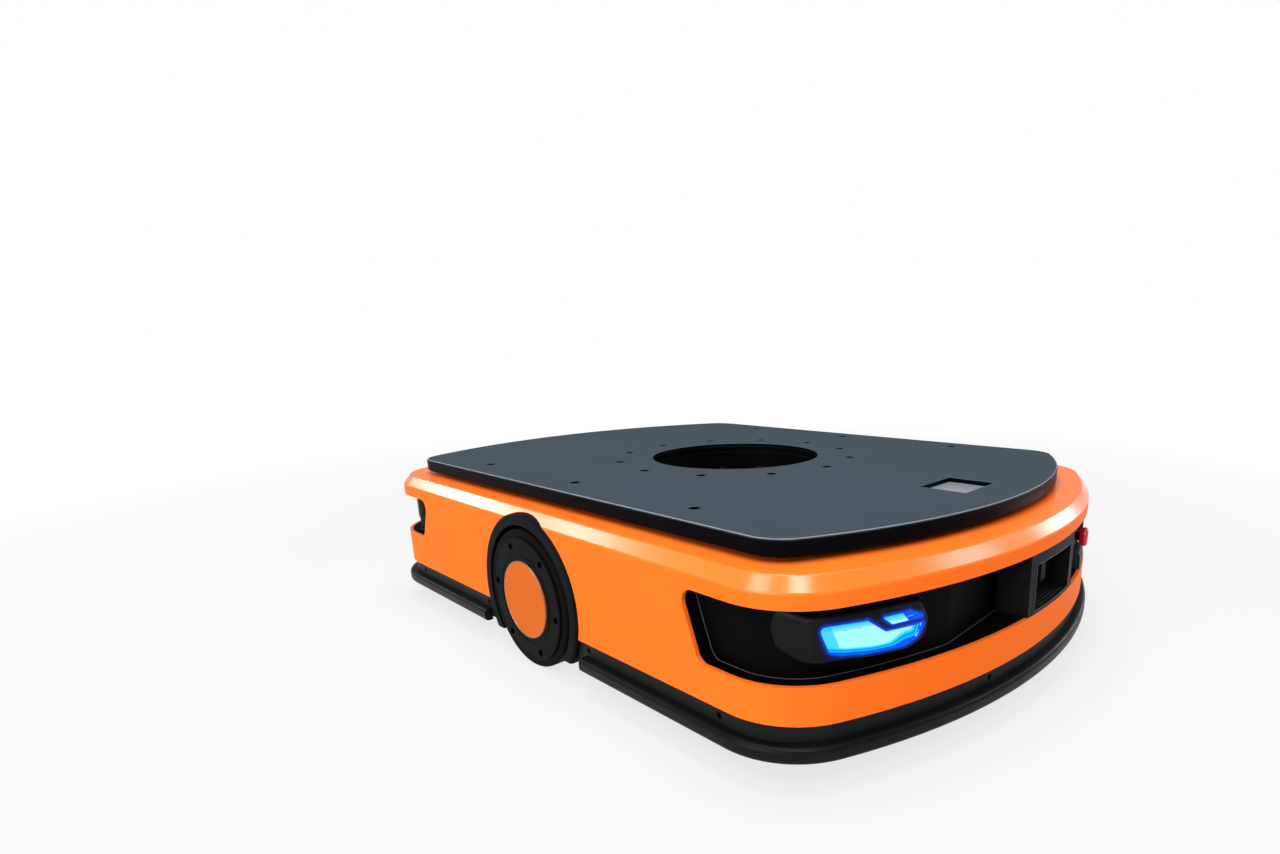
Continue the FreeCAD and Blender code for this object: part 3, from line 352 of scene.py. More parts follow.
# Each row names the maker of a finish, then what the maker is told.
recipes = {
    "body_orange": (satin_paint, ORANGE, ORANGE_SHADE, 0.34, body_top),
    "plate_slate": (plate_coat, SLATE_TOP, SLATE_SIDE_SHADE, SLATE_EDGE_HIGHLIGHT),
    "slot_black": (moulded, (0.0006, 0.0006, 0.0007), 0.50, 900.0, 0.00008, 0.04),
    "frame_black": (moulded, (0.0046, 0.0048, 0.0052), 0.42, 900.0, 0.00008, 0.06),
    "sill_grey": (moulded, (0.022, 0.026, 0.032), 0.44),
    "pod_black": (lit_plastic, (0.0020, 0.0023, 0.0030), (0.0, 0.06, 0.9)),
    "scanner_black": (glossy, (0.012, 0.008, 0.007), 0.08),
    "skirt_black": (powder_coat, (0.0070, 0.0080, 0.0086), 0.44, 0.15),
    "pan_black": (powder_coat, (0.018, 0.019, 0.020), 0.55, 0.2, 900.0),
    "arch_black": (moulded, (0.0034, 0.0040, 0.0047), 0.34, 1300.0, 0.00004, 0.02),
    "bumper_rubber": (rubber, (0.0034, 0.0040, 0.0048), 0.30, 0.10),
    "tyre_rubber": (rubber, (0.0046, 0.0032, 0.0030), 0.5, 0.02),
    "caster_rubber": (rubber, (0.055, 0.055, 0.060), 0.5),
    "disc_black": (powder_coat, (0.0034, 0.0035, 0.0036), 0.32, 0.1, 1800.0, 0.02),
    "cap_orange": (satin_paint, CAP_ORANGE, CAP_SHADE, 0.42),
    "rim_bright": (metal, (0.26, 0.27, 0.28), 0.3),
    "lens_lit": (lit_lens,),
    "pane_glass": (glossy, (0.18, 0.195, 0.21), 0.3, 0.0, 0.04),
    "ground_steel": (metal, (0.56, 0.57, 0.59), 0.26),
    "cast_aluminium": (cast_metal, (0.60, 0.61, 0.63)),
    "brass": (metal, (0.075, 0.058, 0.036), 0.4, (1.0, 20.0, 1.0)),
    "stop_red": (glossy, (0.50, 0.008, 0.016), 0.25, 0.35),
    "badge_yellow": (glossy, (0.90, 0.82, 0.17), 0.3, 0.3),
    "key_silver": (metal, (0.66, 0.66, 0.68), 0.28, (1.0, 1.0, 1.0), 300.0),
    "case_grey": (powder_coat, (0.075, 0.080, 0.088), 0.5, 0.3, 1100.0),
    "mark_white": (moulded, (0.78, 0.80, 0.82), 0.5),
    "mark_dark": (moulded, (0.03, 0.03, 0.034), 0.5),
    "lip_grey": (moulded, (0.060, 0.070, 0.082), 0.34),
}
finishes = {name: maker(name, *values) for name, (maker, *values) in recipes.items()}

node_finishes = {
    "body_orange": ["body_shell"],
    "plate_slate": ["top_plate"],
    "slot_black": ["front_slot_liner", "rear_slot_liner", "hole_liner", "upward_camera"],
    "frame_black": ["rear_bay_frame", "control_panel", "front_stop_collar", "rear_stop_collar",
                    "front_stop_stem", "rear_stop_stem"],
    "sill_grey": ["rear_stop_console", "lidar_base"],
    "scanner_black": ["lidar_cover", "button_bezel"],
    "skirt_black": ["lower_skirt", "lift_frame", "drive_brackets"],
    "pan_black": ["chassis_pan"],
    "arch_black": ["left_wheel_arch", "right_wheel_arch"],
    "bumper_rubber": ["front_bumper", "rear_bumper"],
    "tyre_rubber": ["left_tyre", "right_tyre"],
    "caster_rubber": ["front_left_caster_wheel", "front_right_caster_wheel",
                      "rear_left_caster_wheel", "rear_right_caster_wheel"],
    "disc_black": ["left_wheel_disc", "right_wheel_disc"],
    "cap_orange": ["left_hub_cap", "right_hub_cap"],
    "pane_glass": ["window_pane"],
    "ground_steel": ["lift_rods", "left_axle", "right_axle", "caster_plates",
                     "front_left_caster_fork", "front_right_caster_fork",
                     "rear_left_caster_fork", "rear_right_caster_fork"],
    "cast_aluminium": ["lift_barrels", "left_gearbox", "right_gearbox", "lidar_rotor", "controller_box"],
    "brass": ["charge_contacts"],
    "badge_yellow": ["stop_badge"],
    "case_grey": ["battery_pack", "left_drive_motor", "right_drive_motor"],
}
for finish, nodes in node_finishes.items():
    for node in nodes:
        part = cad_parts[node]
        for material_slot in part.material_slots:
            material_slot.material = finishes[finish]


# ---- sizes from the frame
def low_corner(node):
    return Vector(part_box(node)[0])


def high_corner(node):
    return Vector(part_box(node)[1])


def middle(node):
    return (low_corner(node) + high_corner(node)) / 2


half_length, half_width = high_corner("body_shell").x, high_corner("body_shell").y
END_RADIUS = 643 * MM
CORNER_RADIUS = 87 * MM
corner_y = half_width - CORNER_RADIUS
end_centre_x = half_length - END_RADIUS
corner_x = end_centre_x + math.sqrt((END_RADIUS - CORNER_RADIUS) ** 2 - corner_y ** 2)
end_angle = math.atan2(corner_y, corner_x - end_centre_x)
end_run = END_RADIUS * end_angle
side_run = end_run + CORNER_RADIUS * (math.pi / 2 - end_angle)
WALL_INSET = 15 * MM            # from the body's side to the slot's wall
RECESS_STEP = 37 * MM           # from the body's end to the slot's flat back
recess_x = half_length - RECESS_STEP


def outline(run, inset):
    """Plan point of the body's front left quarter, at a run from the middle of the end."""
    if run < end_run:
        angle = run / END_RADIUS
        reach = END_RADIUS - inset
        return end_centre_x + reach * math.cos(angle), reach * math.sin(angle)
    if run < side_run:
        angle = end_angle + (run - end_run) / CORNER_RADIUS
        reach = CORNER_RADIUS - inset
        return corner_x + reach * math.cos(angle), corner_y + reach * math.sin(angle)
    return corner_x - (run - side_run), half_width - inset


def place_facing(spot, out, up):
    """Frame at a spot: X out of the surface and Z along the second direction."""
    out, up = Vector(out), Vector(up)
    return Matrix.Translation(spot) @ Matrix((out, up.cross(out), up)).transposed().to_4x4()


def end_place(spot, end):
    """Frame on the end arc level with a spot: X out of the body, Z up."""
    angle = math.asin(spot.y / END_RADIUS)
    return place_facing(spot, (end * math.cos(angle), math.sin(angle), 0.0), (0.0, 0.0, 1.0))


def side_place(spot, side):
    """Frame on the side: X out of the body, Z up."""
    return place_facing(spot, (0.0, float(side), 0.0), (0.0, 0.0, 1.0))


def flat_place(spot):
    """Frame on top of the robot: X up."""
    return place_facing(spot, (0.0, 0.0, 1.0), (0.0, 1.0, 0.0))


def arc_spot(y, z, end, inset):
    """Spot on the body's end arc, an inset inside it."""
    angle = math.asin(y / END_RADIUS)
    reach = END_RADIUS - inset
    return Vector((end * (end_centre_x + reach * math.cos(angle)), reach * math.sin(angle), z))


# ---- making pieces
def put(name, mesh, finish, body, crease=32.0):
    """Hangs a finished mesh or curve on a body."""
    piece = bpy.data.objects.new(name, mesh)
    bpy.context.scene.collection.objects.link(piece)
    mesh.materials.append(finishes[finish])
    if isinstance(mesh, bpy.types.Mesh):
        mesh.shade_smooth()
        mesh.set_sharp_from_angle(angle=math.radians(crease))
    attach(piece, body)
    return piece


def from_bmesh(name, shape):
    bmesh.ops.recalc_face_normals(shape, faces=shape.faces[:])
    mesh = bpy.data.meshes.new(name)
    shape.to_mesh(mesh)
    shape.free()
    return mesh


def join_rings(shape, rings):
    """Faces between each closed ring of points and the next."""
    for ring, after in zip(rings, rings[1:]):
        for k in range(len(ring)):
            j = (k + 1) % len(ring)
            shape.faces.new((ring[k], ring[j], after[j], after[k]))


def turned_shape(shape, profile, place, segments):
    """Adds a turned form: profile points are (radius, height along the frame's X), in millimetres."""
    rings = []
    for radius, along in profile:
        ring = []
        for k in range(segments):
            angle = 2 * math.pi * k / segments
            spot = Vector((along, radius * math.cos(angle), radius * math.sin(angle))) * MM
            ring.append(shape.verts.new(place @ spot))
        rings.append(ring)
    join_rings(shape, rings)
    for ring in (rings[0], rings[-1]):
        shape.faces.new(ring)


ROUND_STEPS = 6


def ring_profile(radius, width, height, base=0.0):
    """Rounded raised ring."""
    points = [(radius - width / 2, base - height)]
    for k in range(ROUND_STEPS + 1):
        angle = math.pi * (1 - k / ROUND_STEPS)
        points.append((radius + width / 2 * math.cos(angle), base + height * math.sin(angle)))
    points.append((radius + width / 2, base - height))
    return points


def turned(name, parts, finish, body, segments):
    """One piece of several turned forms: parts is a list of (profile, frame)."""
    shape = bmesh.new()
    for profile, place in parts:
        turned_shape(shape, profile, place, segments)
    return put(name, from_bmesh(name, shape), finish, body)


def bead(name, lines, thickness, finish, body, closed=False):
    """Round beads along lines of points in metres."""
    curve = bpy.data.curves.new(name, "CURVE")
    curve.dimensions = "3D"
    curve.bevel_depth = thickness * MM / 2
    curve.bevel_resolution = 3
    curve.use_fill_caps = True
    for line in lines:
        spline = curve.splines.new("POLY")
        spline.points.add(len(line) - 1)
        for point, spot in zip(spline.points, line):
            point.co = (*spot, 1.0)
        spline.use_cyclic_u = closed
    return put(name, curve, finish, body)


def rounded(corners, steps=6):
    """Closed outline with its corners rounded: corners are (x, y, radius)."""
    points = []
    count = len(corners)
    for k, (x, y, radius) in enumerate(corners):
        here = Vector((x, y))
        before = Vector(corners[k - 1][:2]) - here
        after = Vector(corners[(k + 1) % count][:2]) - here
        opening = before.angle(after)
        cut = min(radius / math.tan(opening / 2), 0.48 * min(before.length, after.length))
        start, end = here + before.normalized() * cut, here + after.normalized() * cut
        for step in range(steps + 1):
            t = step / steps
            points.append((1 - t) ** 2 * start + 2 * t * (1 - t) * here + t ** 2 * end)
    return points


NEAREST_POINTS = 0.05           # millimetres


def spread(points, gap):
    """The same closed line with points at most a gap apart."""
    out = []
    for here, after in zip(points, points[1:] + points[:1]):
        pieces = max(1, math.ceil((after - here).length / gap))
        for k in range(pieces):
            spot = here.lerp(after, k / pieces)
            if not out or (spot - out[-1]).length > NEAREST_POINTS:
                out.append(spot)
    return out


def edge_distance(spot, line):
    """Distance from a spot to a closed line, positive inside it."""
    x, y = spot[0], spot[1]
    best, inside = math.inf, False
    for a, b in zip(line, line[1:] + line[:1]):
        ax, ay = a
        run_x, run_y = b.x - ax, b.y - ay
        t = ((x - ax) * run_x + (y - ay) * run_y) / max(run_x * run_x + run_y * run_y, 1e-12)
        t = max(0.0, min(1.0, t))
        best = min(best, (ax + run_x * t - x) ** 2 + (ay + run_y * t - y) ** 2)
        if (ay > y) != (b.y > y) and x < ax + (y - ay) / run_y * run_x:
            inside = not inside
    best = math.sqrt(best)
    return best if inside else -best


def shrunk(line, distance):
    """The closed line moved inwards."""
    out = []
    area = sum(a.x * b.y - b.x * a.y for a, b in zip(line, line[1:] + line[:1]))
    turn = 1 if area > 0 else -1
    for before, here, after in zip(line[-1:] + line[:-1], line, line[1:] + line[:1]):
        one, two = (here - before).normalized(), (after - here).normalized()
        inward = Vector((-(one.y + two.y), one.x + two.x)) * turn
        out.append(here + inward.normalized() * distance)
    return out


CUT_TOLERANCE = 1e-5            # millimetres


def raised(line, rings, cell):
    """Flat-laid raised form in (run, level, height): rings are (distance inside the line, height)."""
    shape = bmesh.new()
    loops = []
    for distance, height in rings:
        loops.append([shape.verts.new((p.x, p.y, height)) for p in shrunk(line, distance)])
    join_rings(shape, loops)
    top = shape.faces.new(loops[-1])
    bmesh.ops.triangulate(shape, faces=[top])
    for axis in (0, 1):
        spans = [v.co[axis] for v in shape.verts]
        spot = min(spans) + cell
        while spot < max(spans):
            centre, normal = Vector((0, 0, 0)), Vector((0, 0, 0))
            centre[axis], normal[axis] = spot, 1.0
            everything = shape.verts[:] + shape.edges[:] + shape.faces[:]
            bmesh.ops.bisect_plane(shape, geom=everything, plane_co=centre, plane_no=normal,
                                   dist=CUT_TOLERANCE)
            spot += cell
    return shape


def wrap(name, forms, lift, marks, corners):
    """Bends flat-laid forms round the body's corners: lift gives the inset, marks the points' numbers."""
    quarter, loops, numbers = [], [], {key: [] for key in marks}
    for form in forms:
        form.verts.index_update()
        base = len(quarter)
        for vertex in form.verts:
            x, y = outline(vertex.co.x * MM, lift(vertex.co) * MM)
            quarter.append((x, y, vertex.co.y * MM))
            for key, mark in marks.items():
                numbers[key].append(mark(vertex.co))
        loops += [[base + vertex.index for vertex in face.verts] for face in form.faces]
        form.free()
    spots, faces = [], []
    for end, side in corners:
        base = len(spots)
        spots += [(end * x, side * y, z) for x, y, z in quarter]
        faces += [[base + index for index in loop[::end * side]] for loop in loops]
    mesh = bpy.data.meshes.new(name)
    mesh.from_pydata(spots, [], faces)
    for key, values in numbers.items():
        mesh.attributes.new(key, "FLOAT", "POINT").data.foreach_set("value", values * len(corners))
    shape = bmesh.new()
    shape.from_mesh(mesh)
    bmesh.ops.recalc_face_normals(shape, faces=shape.faces[:])
    shape.to_mesh(mesh)
    shape.free()
    return mesh


# ---- headlights
# All of this part is in millimetres. Its lines run from the middle of the end, round the corner, at a level
# above the floor: the corners of an outline are (run, level, radius).
CORNERS = [(FRONT, LEFT), (FRONT, RIGHT), (REAR, LEFT), (REAR, RIGHT)]
POD_FACE = 3.0                # inset of the pod's face from the body's side
POD_HEIGHT = 12.0
POD_EDGE = 6.5                # width of its rounded edge
POD_ROOT = 1.0                # how far it reaches into the slot's wall
POD_TOP_FALL = 140.0          # level where its face starts to lean back
POD_LEAN, POD_EASE = 0.42, 1.6
NO_FACET = 99.0               # a height that never limits the face
HALO_RUN, HALO_LEVEL = (204, 320), (102, 147)
HALO_REACH = 0.8
CREASE_LEVEL, CREASE_LEAN = 135.0, 0.22
END_RUN, END_LEAN = 224.0, 0.10
CHIP_RUN, CHIP_SLOPE, CHIP_WIDTH = 233.5, 0.8, 1.6
SEGMENT_MARGIN = 0.6
BEYOND_MARKS = 9.0            # a mark past every step it feeds in the lens's finish
FOOT_ANGLE, CREST_ANGLE = math.radians(67.0), math.radians(41.5)
pod_line = spread(rounded([(215, 105.5, 12), (203, 127, 14), (213, 148, 10), (352, 150.5, 12),
                           (362, 136, 12), (352, 117, 16), (331, 105.5, 26)]), 2.0)
lens_edge = rounded([(315.5, 140.4, 6), (305.0, 116.4, 7), (292, 113.6, 10), (268, 110.6, 30),
                     (234, 109.6, 14), (217.0, 115.5, 10), (212.0, 127.0, 1.5), (253.5, 127.3, 1.2),
                     (270.5, 139.4, 1.5), (292, 140.2, 30)], 5)
segment_edge = rounded([(258.0, 139.4, 1.5), (247.5, 131.3, 1.2), (214.0, 131.6, 1.0), (215.0, 133.8, 1.5),
                        (228.5, 139.8, 2.5)], 4)
surround_line = spread(rounded([(323, 143, 8), (311, 113.6, 9), (293, 110.6, 10), (268, 107.6, 30),
                                (230, 106.6, 14), (211.5, 113, 12), (208.5, 131, 8), (219, 142.4, 8),
                                (290, 143.2, 30)]), 1.5)
FOOT_LINE = [Vector(p) for p in ((322, 117.0), (305.0, 116.0), (292, 113.4), (268, 110.6), (234, 109.6))]
END_LINE = [Vector(p) for p in ((234, 109.6), (222, 111.2), (216.2, 116.5), (212, 127.0), (212, 141.0))]
HEEL_LINE = [Vector(p) for p in ((316.0, 142.0), (304.5, 114.0))]
CREASE_LINE = [Vector(p) for p in ((312.0, 137.0), (305, 135.3), (285, 135.0), (262, 134.6), (240, 134.6),
                                   (222, 136.4))]


def facet_height(run):
    """Height of the pod's flat outer side above the slot's wall."""
    if run * MM < end_run:
        return NO_FACET
    reach = (CORNER_RADIUS - WALL_INSET) / MM, CORNER_RADIUS / MM - POD_FACE
    foot = Vector((math.cos(FOOT_ANGLE), math.sin(FOOT_ANGLE))) * reach[0]
    crest = Vector((math.cos(CREST_ANGLE), math.sin(CREST_ANGLE))) * reach[1]
    across = Vector((foot.y - crest.y, crest.x - foot.x)).normalized()
    angle = end_angle + (run * MM - end_run) / CORNER_RADIUS
    here = Vector((math.cos(angle), math.sin(angle)))
    return min(NO_FACET, across.dot(foot) / max(0.05, across.dot(here)) - reach[0])


def soft_min(a, b, ease):
    """The lesser of two values, rounded off where they come within the ease of each other."""
    gap = max(0.0, ease - abs(a - b)) / ease
    return min(a, b) - gap * gap * ease / 4


def pod_face(run, level):
    """Height of the pod's face above the slot's wall."""
    height = POD_HEIGHT - max(0.0, level - POD_TOP_FALL) * POD_LEAN
    return soft_min(height, facet_height(run), POD_EASE)


def pod_lift(spot):
    """The third coordinate holds how far the edge has risen, from 0 to 1."""
    wall = WALL_INSET / MM
    return wall + POD_ROOT - max(0.0, pod_face(spot.x, spot.y) + POD_ROOT) * spot.z


def glow_depth(spot):
    """Distance inside the lens's edge."""
    return max(edge_distance(spot, lens_edge), edge_distance(spot, segment_edge))


def halo(spot):
    """Painted glow from the lens on the plastic beside it: 1 at its edge and less further out."""
    if not (HALO_RUN[0] < spot.x < HALO_RUN[1] and HALO_LEVEL[0] < spot.y < HALO_LEVEL[1]):
        return 0.0
    return math.exp(-max(0.0, -glow_depth(spot)) / HALO_REACH)


def quarter_rise(distance):
    """Rise of the pod's rounded edge, from 0 to 1."""
    return math.sqrt(max(0.0, 1.0 - (1.0 - min(1.0, distance / POD_EDGE)) ** 2))


pod_rings = [(d, quarter_rise(d)) for d in (0.0, 0.12, 0.5, 1.1, 2.0, 3.2, 4.8, POD_EDGE)]
pods = wrap("headlight_pods", [raised(pod_line, pod_rings, 2.5)], pod_lift, {"halo": halo}, CORNERS)
pods = put("headlight_pods", pods, "pod_black", "chassis", crease=40.0)
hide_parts("headlight_housings")


def on_pod(spot):
    """Inset of a form laid on the pod's face."""
    return WALL_INSET / MM - pod_face(spot.x, spot.y) - spot.z


surround_rings = [(0.0, -1.0), (0.0, 0.0), (0.35, 0.28), (0.9, 0.4)]
surround = raised(surround_line, surround_rings, 2.5)
surround = wrap("headlight_surrounds", [surround], on_pod, {"halo": halo}, CORNERS)
put("headlight_surrounds", surround, "pod_black", "chassis", crease=40.0)


def line_distance(spot, line):
    """Distance from a spot to an open line."""
    here, best = Vector((spot.x, spot.y)), math.inf
    for a, b in zip(line, line[1:]):
        run = b - a
        t = max(0.0, min(1.0, (here - a).dot(run) / run.length_squared))
        best = min(best, (a + run * t - here).length)
    return best


def in_segment(spot):
    """Whether a spot is on the upper of the lens's two bars."""
    return edge_distance(spot, segment_edge) > -SEGMENT_MARGIN


def glow_foot(spot):
    """Distance from the lower bar's foot and, less steeply, from its inner end."""
    if in_segment(spot):
        return BEYOND_MARKS
    return soft_min(line_distance(spot, FOOT_LINE), line_distance(spot, END_LINE) / 2.1, 5.0)


def glow_heel(spot):
    """Distance from the lens's outer end."""
    return line_distance(spot, HEEL_LINE)


def glow_crease(spot):
    """Height above the crease line."""
    for a, b in zip(CREASE_LINE, CREASE_LINE[1:]):
        if b.x <= spot.x <= a.x:
            return spot.y - (a.y + (b.y - a.y) * (a.x - spot.x) / (a.x - b.x))
    return -BEYOND_MARKS


def glow_end(spot):
    """Distance from the inner end, where a painted highlight lies on the turned face."""
    return line_distance(spot, END_LINE) if spot.x < 229 and 116 < spot.y < 127 else BEYOND_MARKS


def glow_chip(spot):
    """1 where the upper bar's inner end is deep blue."""
    past = (CHIP_RUN - spot.x + (spot.y - CREASE_LEVEL) * CHIP_SLOPE) / CHIP_WIDTH
    return max(0.0, min(1.0, past + 0.5)) * in_segment(spot)


def lens_lift(spot):
    """The lens leans back above its upper crease and at its inner end."""
    back = max(0.0, spot.y - CREASE_LEVEL) * CREASE_LEAN
    return on_pod(spot) + back + max(0.0, END_RUN - spot.x) * END_LEAN


lens_rings = [(0.0, -1.2), (0.0, 0.9), (0.25, 1.35), (0.7, 1.6), (1.2, 1.7)]
lens_forms = [raised(spread(edge, 0.8), lens_rings, 1.1) for edge in (lens_edge, segment_edge)]
glow_marks = {"depth": glow_depth, "foot": glow_foot, "crease": glow_crease, "heel": glow_heel,
              "chip": glow_chip, "end": glow_end}
lens = wrap("headlight_lens_bars", lens_forms, lens_lift, glow_marks, CORNERS)
lens = put("headlight_lens_bars", lens, "lens_lit", "chassis", crease=40.0)
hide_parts("headlight_lenses")


# ---- lines in the slots
SLOT_REACH, SLOT_SLANT, SLOT_TURN = 204 * MM, 24 * MM, 9 * MM
LIP_PROUD, LIP_SHIFT, LIP_RAISED = 0.35 * MM, 4 * MM, 0.3 * MM
LIP_STEPS, LIP_GAP = 6, 4 * MM


def slot_line(end, side, floor, roof, stop_y):
    """Lip where the slot's floor meets its back wall, up along the slanted end."""
    slot_end = half_length - SLOT_REACH
    wall_y = half_width - WALL_INSET + LIP_PROUD
    points = []
    for k in range(LIP_STEPS + 1):
        z = roof + (floor + SLOT_TURN - roof) * (k / LIP_STEPS)
        points.append((slot_end + SLOT_SLANT * (roof - z) / (roof - floor) + LIP_SHIFT, wall_y, z))
    foot_x = slot_end + SLOT_SLANT + LIP_SHIFT
    for k in range(1, LIP_STEPS + 1):
        angle = math.pi / 2 * k / LIP_STEPS
        lean = SLOT_SLANT * 0.1 * (1 - k / LIP_STEPS)
        points.append((foot_x + SLOT_TURN * (1 - math.cos(angle)) - lean, wall_y,
                       floor + SLOT_TURN * (1 - math.sin(angle))))
    run = side_run + corner_x - points[-1][0]
    while run > 0:
        x, y = outline(run, WALL_INSET - LIP_PROUD)
        if x > recess_x + LIP_PROUD:
            break
        points.append((x, y, floor + LIP_RAISED))
        run -= LIP_GAP
    last_y = points[-1][1]
    points.append((recess_x + LIP_PROUD, last_y - 1 * MM, floor + LIP_RAISED))
    points.append((recess_x + LIP_PROUD, stop_y, floor + LIP_RAISED))
    return [(end * x, side * y, z) for x, y, z in points]


slot_roof = high_corner("rear_bay_frame").z
rear_floor = low_corner("rear_bay_frame").z
FRONT_STEP = 10 * MM            # the front slot's floor lies higher than the rear one's
front_floor = rear_floor + FRONT_STEP
bay_side = high_corner("rear_bay_frame").y
scanner = middle("lidar_cover")
NICHE, CONSOLE = 31 * MM, 23 * MM       # half widths of the scanner's stand and the stop button's console
slot_lines = [slot_line(REAR, LEFT, rear_floor, slot_roof, bay_side),
              slot_line(REAR, RIGHT, rear_floor, slot_roof, -middle("rear_stop_head").y + CONSOLE),
              slot_line(FRONT, LEFT, front_floor, slot_roof, scanner.y + NICHE),
              slot_line(FRONT, RIGHT, front_floor, slot_roof, -scanner.y + NICHE)]
# The lips' lighter grey is partly a seam bead and partly a painted highlight along the join of floor and
# wall.
bead("slot_lips", slot_lines, 0.7, "lip_grey", "chassis")

# ---- drive wheels
HOLE_RING, HOLE_RADIUS, HOLE_TURN = 62.0, 3.4, math.radians(8.5)
STEP_GAP, EDGE_RING = 6.5, 69.6         # millimetres, the first one out from the cap
RIM_OUT = 0.7                           # from a hole's edge to the middle of its rim


def outer_y(node, side):
    """Distance of a node's outer face from the robot's middle plane."""
    return high_corner(node).y if side == LEFT else -low_corner(node).y


for side, word in ((LEFT, "left"), (RIGHT, "right")):
    axle = middle(word + "_tyre")
    disc_face, cap_face = outer_y(word + "_wheel_disc", side), outer_y(word + "_hub_cap", side)
    hub = side_place(Vector((axle.x, side * disc_face, axle.z)), side)
    cap_radius = (high_corner(word + "_hub_cap").z - low_corner(word + "_hub_cap").z) / 2 / MM
    steps = [(ring_profile(cap_radius + STEP_GAP, 1.2, 0.45), hub), (ring_profile(EDGE_RING, 1.0, 0.4), hub)]
    turned(word + "_disc_steps", steps, "disc_black", word + "_wheel", 128)
    cap = side_place(Vector((axle.x, side * cap_face, axle.z)), side)
    turned(word + "_cap_rim", [(ring_profile(cap_radius - 0.5, 1.0, 0.25), cap)], "rim_bright",
           word + "_wheel", 128)
    holes = []
    for k in range(6):
        angle = HOLE_TURN + math.pi / 3 * k
        spot = Vector((axle.x + HOLE_RING * MM * math.cos(angle), side * disc_face,
                       axle.z + HOLE_RING * MM * math.sin(angle)))
        holes.append((ring_profile(HOLE_RADIUS + RIM_OUT, 0.9, 0.25), side_place(spot, side)))
    turned(word + "_disc_hole_rims", holes, "slot_black", word + "_wheel", 32)

# ---- load plate
plate_top = high_corner("top_plate").z
WELL_LIP, WELL_POINTS = 118.7, 160
well_lines = []
for drop in (4.0, 13.5):
    turns = [2 * math.pi * k / WELL_POINTS for k in range(WELL_POINTS)]
    well_lines.append([(WELL_LIP * MM * math.cos(turn), WELL_LIP * MM * math.sin(turn), plate_top - drop * MM)
                       for turn in turns])
bead("well_lips", well_lines, 0.8, "frame_black", "load_plate", True)

pane_low, pane_high = low_corner("window_pane"), high_corner("window_pane")
LEDGE = 4 * MM
window = [(pane_low.x + LEDGE, pane_low.y + LEDGE), (pane_high.x - LEDGE, pane_low.y + LEDGE),
          (pane_high.x - LEDGE, pane_high.y - LEDGE), (pane_low.x + LEDGE, pane_high.y - LEDGE)]
bead("window_lip", [[(x, y, plate_top - 0.15 * MM) for x, y in window]], 0.9, "lip_grey", "load_plate",
     True)
PANE_DROP, PANE_GAP, PANE_CORNER = 5.0 * MM, 0.2 * MM, 2.0 * MM
pane_top = plate_top - PANE_DROP
gasket = [(x, y, pane_top + 0.3 * MM) for x, y in window]
bead("window_gasket", [gasket], 1.4, "slot_black", "load_plate", True)


def pane_mesh(name, low, high, foot, top):
    """Glass with an eased upper edge, between two opposite corners of its opening."""
    centre_x, centre_y = (low[0] + high[0]) / 2, (low[1] + high[1]) / 2
    reach_x, reach_y = high[0] - centre_x - PANE_GAP, high[1] - centre_y - PANE_GAP
    shape = bmesh.new()
    rings = []
    for shrink, level in ((0.0, foot), (0.0, top - 0.8 * MM), (0.3 * MM, top - 0.2 * MM), (1.0 * MM, top)):
        line = rounded([((reach_x - shrink) * a, (reach_y - shrink) * b, PANE_CORNER)
                        for a, b in ((-1, -1), (1, -1), (1, 1), (-1, 1))], 4)
        rings.append([shape.verts.new((centre_x + p.x, centre_y + p.y, level)) for p in line])
    join_rings(shape, rings)
    shape.faces.new(rings[-1])
    shape.faces.new(rings[0][::-1])
    return from_bmesh(name, shape)


glass = pane_mesh("window_glass", window[0], window[2], pane_high.z + 0.05 * MM, pane_top)
put("window_glass", glass, "pane_glass", "load_plate")

BOLT_RING, BOLT_HOLE = 165.0, 4.5
GRID_X, GRID_Y = 206, 265
bolt_turns = [math.pi / 6 * k for k in range(12)]
bolt_spots = [(BOLT_RING * math.cos(turn), BOLT_RING * math.sin(turn)) for turn in bolt_turns]
bolt_spots += [(x, y) for x in (-GRID_X, 0, GRID_X) for y in (-GRID_Y, GRID_Y)]
rims = [(ring_profile(BOLT_HOLE + RIM_OUT, 1.5, 0.12, -0.02), flat_place(Vector((x * MM, y * MM, plate_top))))
        for x, y in bolt_spots]
turned("bolt_hole_rims", rims, "slot_black", "load_plate", 32)

# ---- front panel
AXIS = 0.01                     # millimetres: a turned form's nearest point to its axis
KEY_LENGTH = 14.0
KEY_TOP = KEY_LENGTH / 2
KEY_DISH = KEY_TOP - 0.32
key_profile = [(AXIS, KEY_TOP - 0.3), (3.6, KEY_DISH), (4.2, KEY_TOP - 0.55), (4.6, KEY_TOP - 0.3),
               (5.5, KEY_TOP - 0.1), (6.0, KEY_TOP - 0.5), (6.15, KEY_TOP - 1.2), (6.15, -KEY_TOP),
               (AXIS, -KEY_TOP)]


def arc(radius, start, end, steps=24):
    """Points on a circle, by angles from its top."""
    points = []
    for k in range(steps + 1):
        angle = start + (end - start) * k / steps
        points.append((radius * math.sin(angle), radius * math.cos(angle)))
    return points


key_marks = {
    "power": [arc(1.9, 0.6, 2 * math.pi - 0.6), [(0.0, 0.6), (0.0, 2.5)]],
    "reset": [arc(1.9, 0.3, 5.2), [(-0.2, 3.0), (0.9, 1.9), (-0.2, 0.9)]],
    "brake_release": [arc(1.9, 0.0, 2 * math.pi), [(-0.8, -0.8), (-0.8, 0.8)], [(0.8, -0.8), (0.8, 0.8)]],
}
key_spots = []
for key, lines in key_marks.items():
    spot = middle(key + "_button")
    place = end_place(spot, FRONT)
    piece = turned(key + "_key", [(key_profile, place)], "key_silver", key + "_key", 48)
    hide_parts(key + "_button")
    drawn = [[place @ (Vector((KEY_DISH, y, z)) * MM) for y, z in line] for line in lines]
    bead(key + "_mark", drawn, 0.5, "mark_dark", key + "_key")
    key_spots.append(spot)

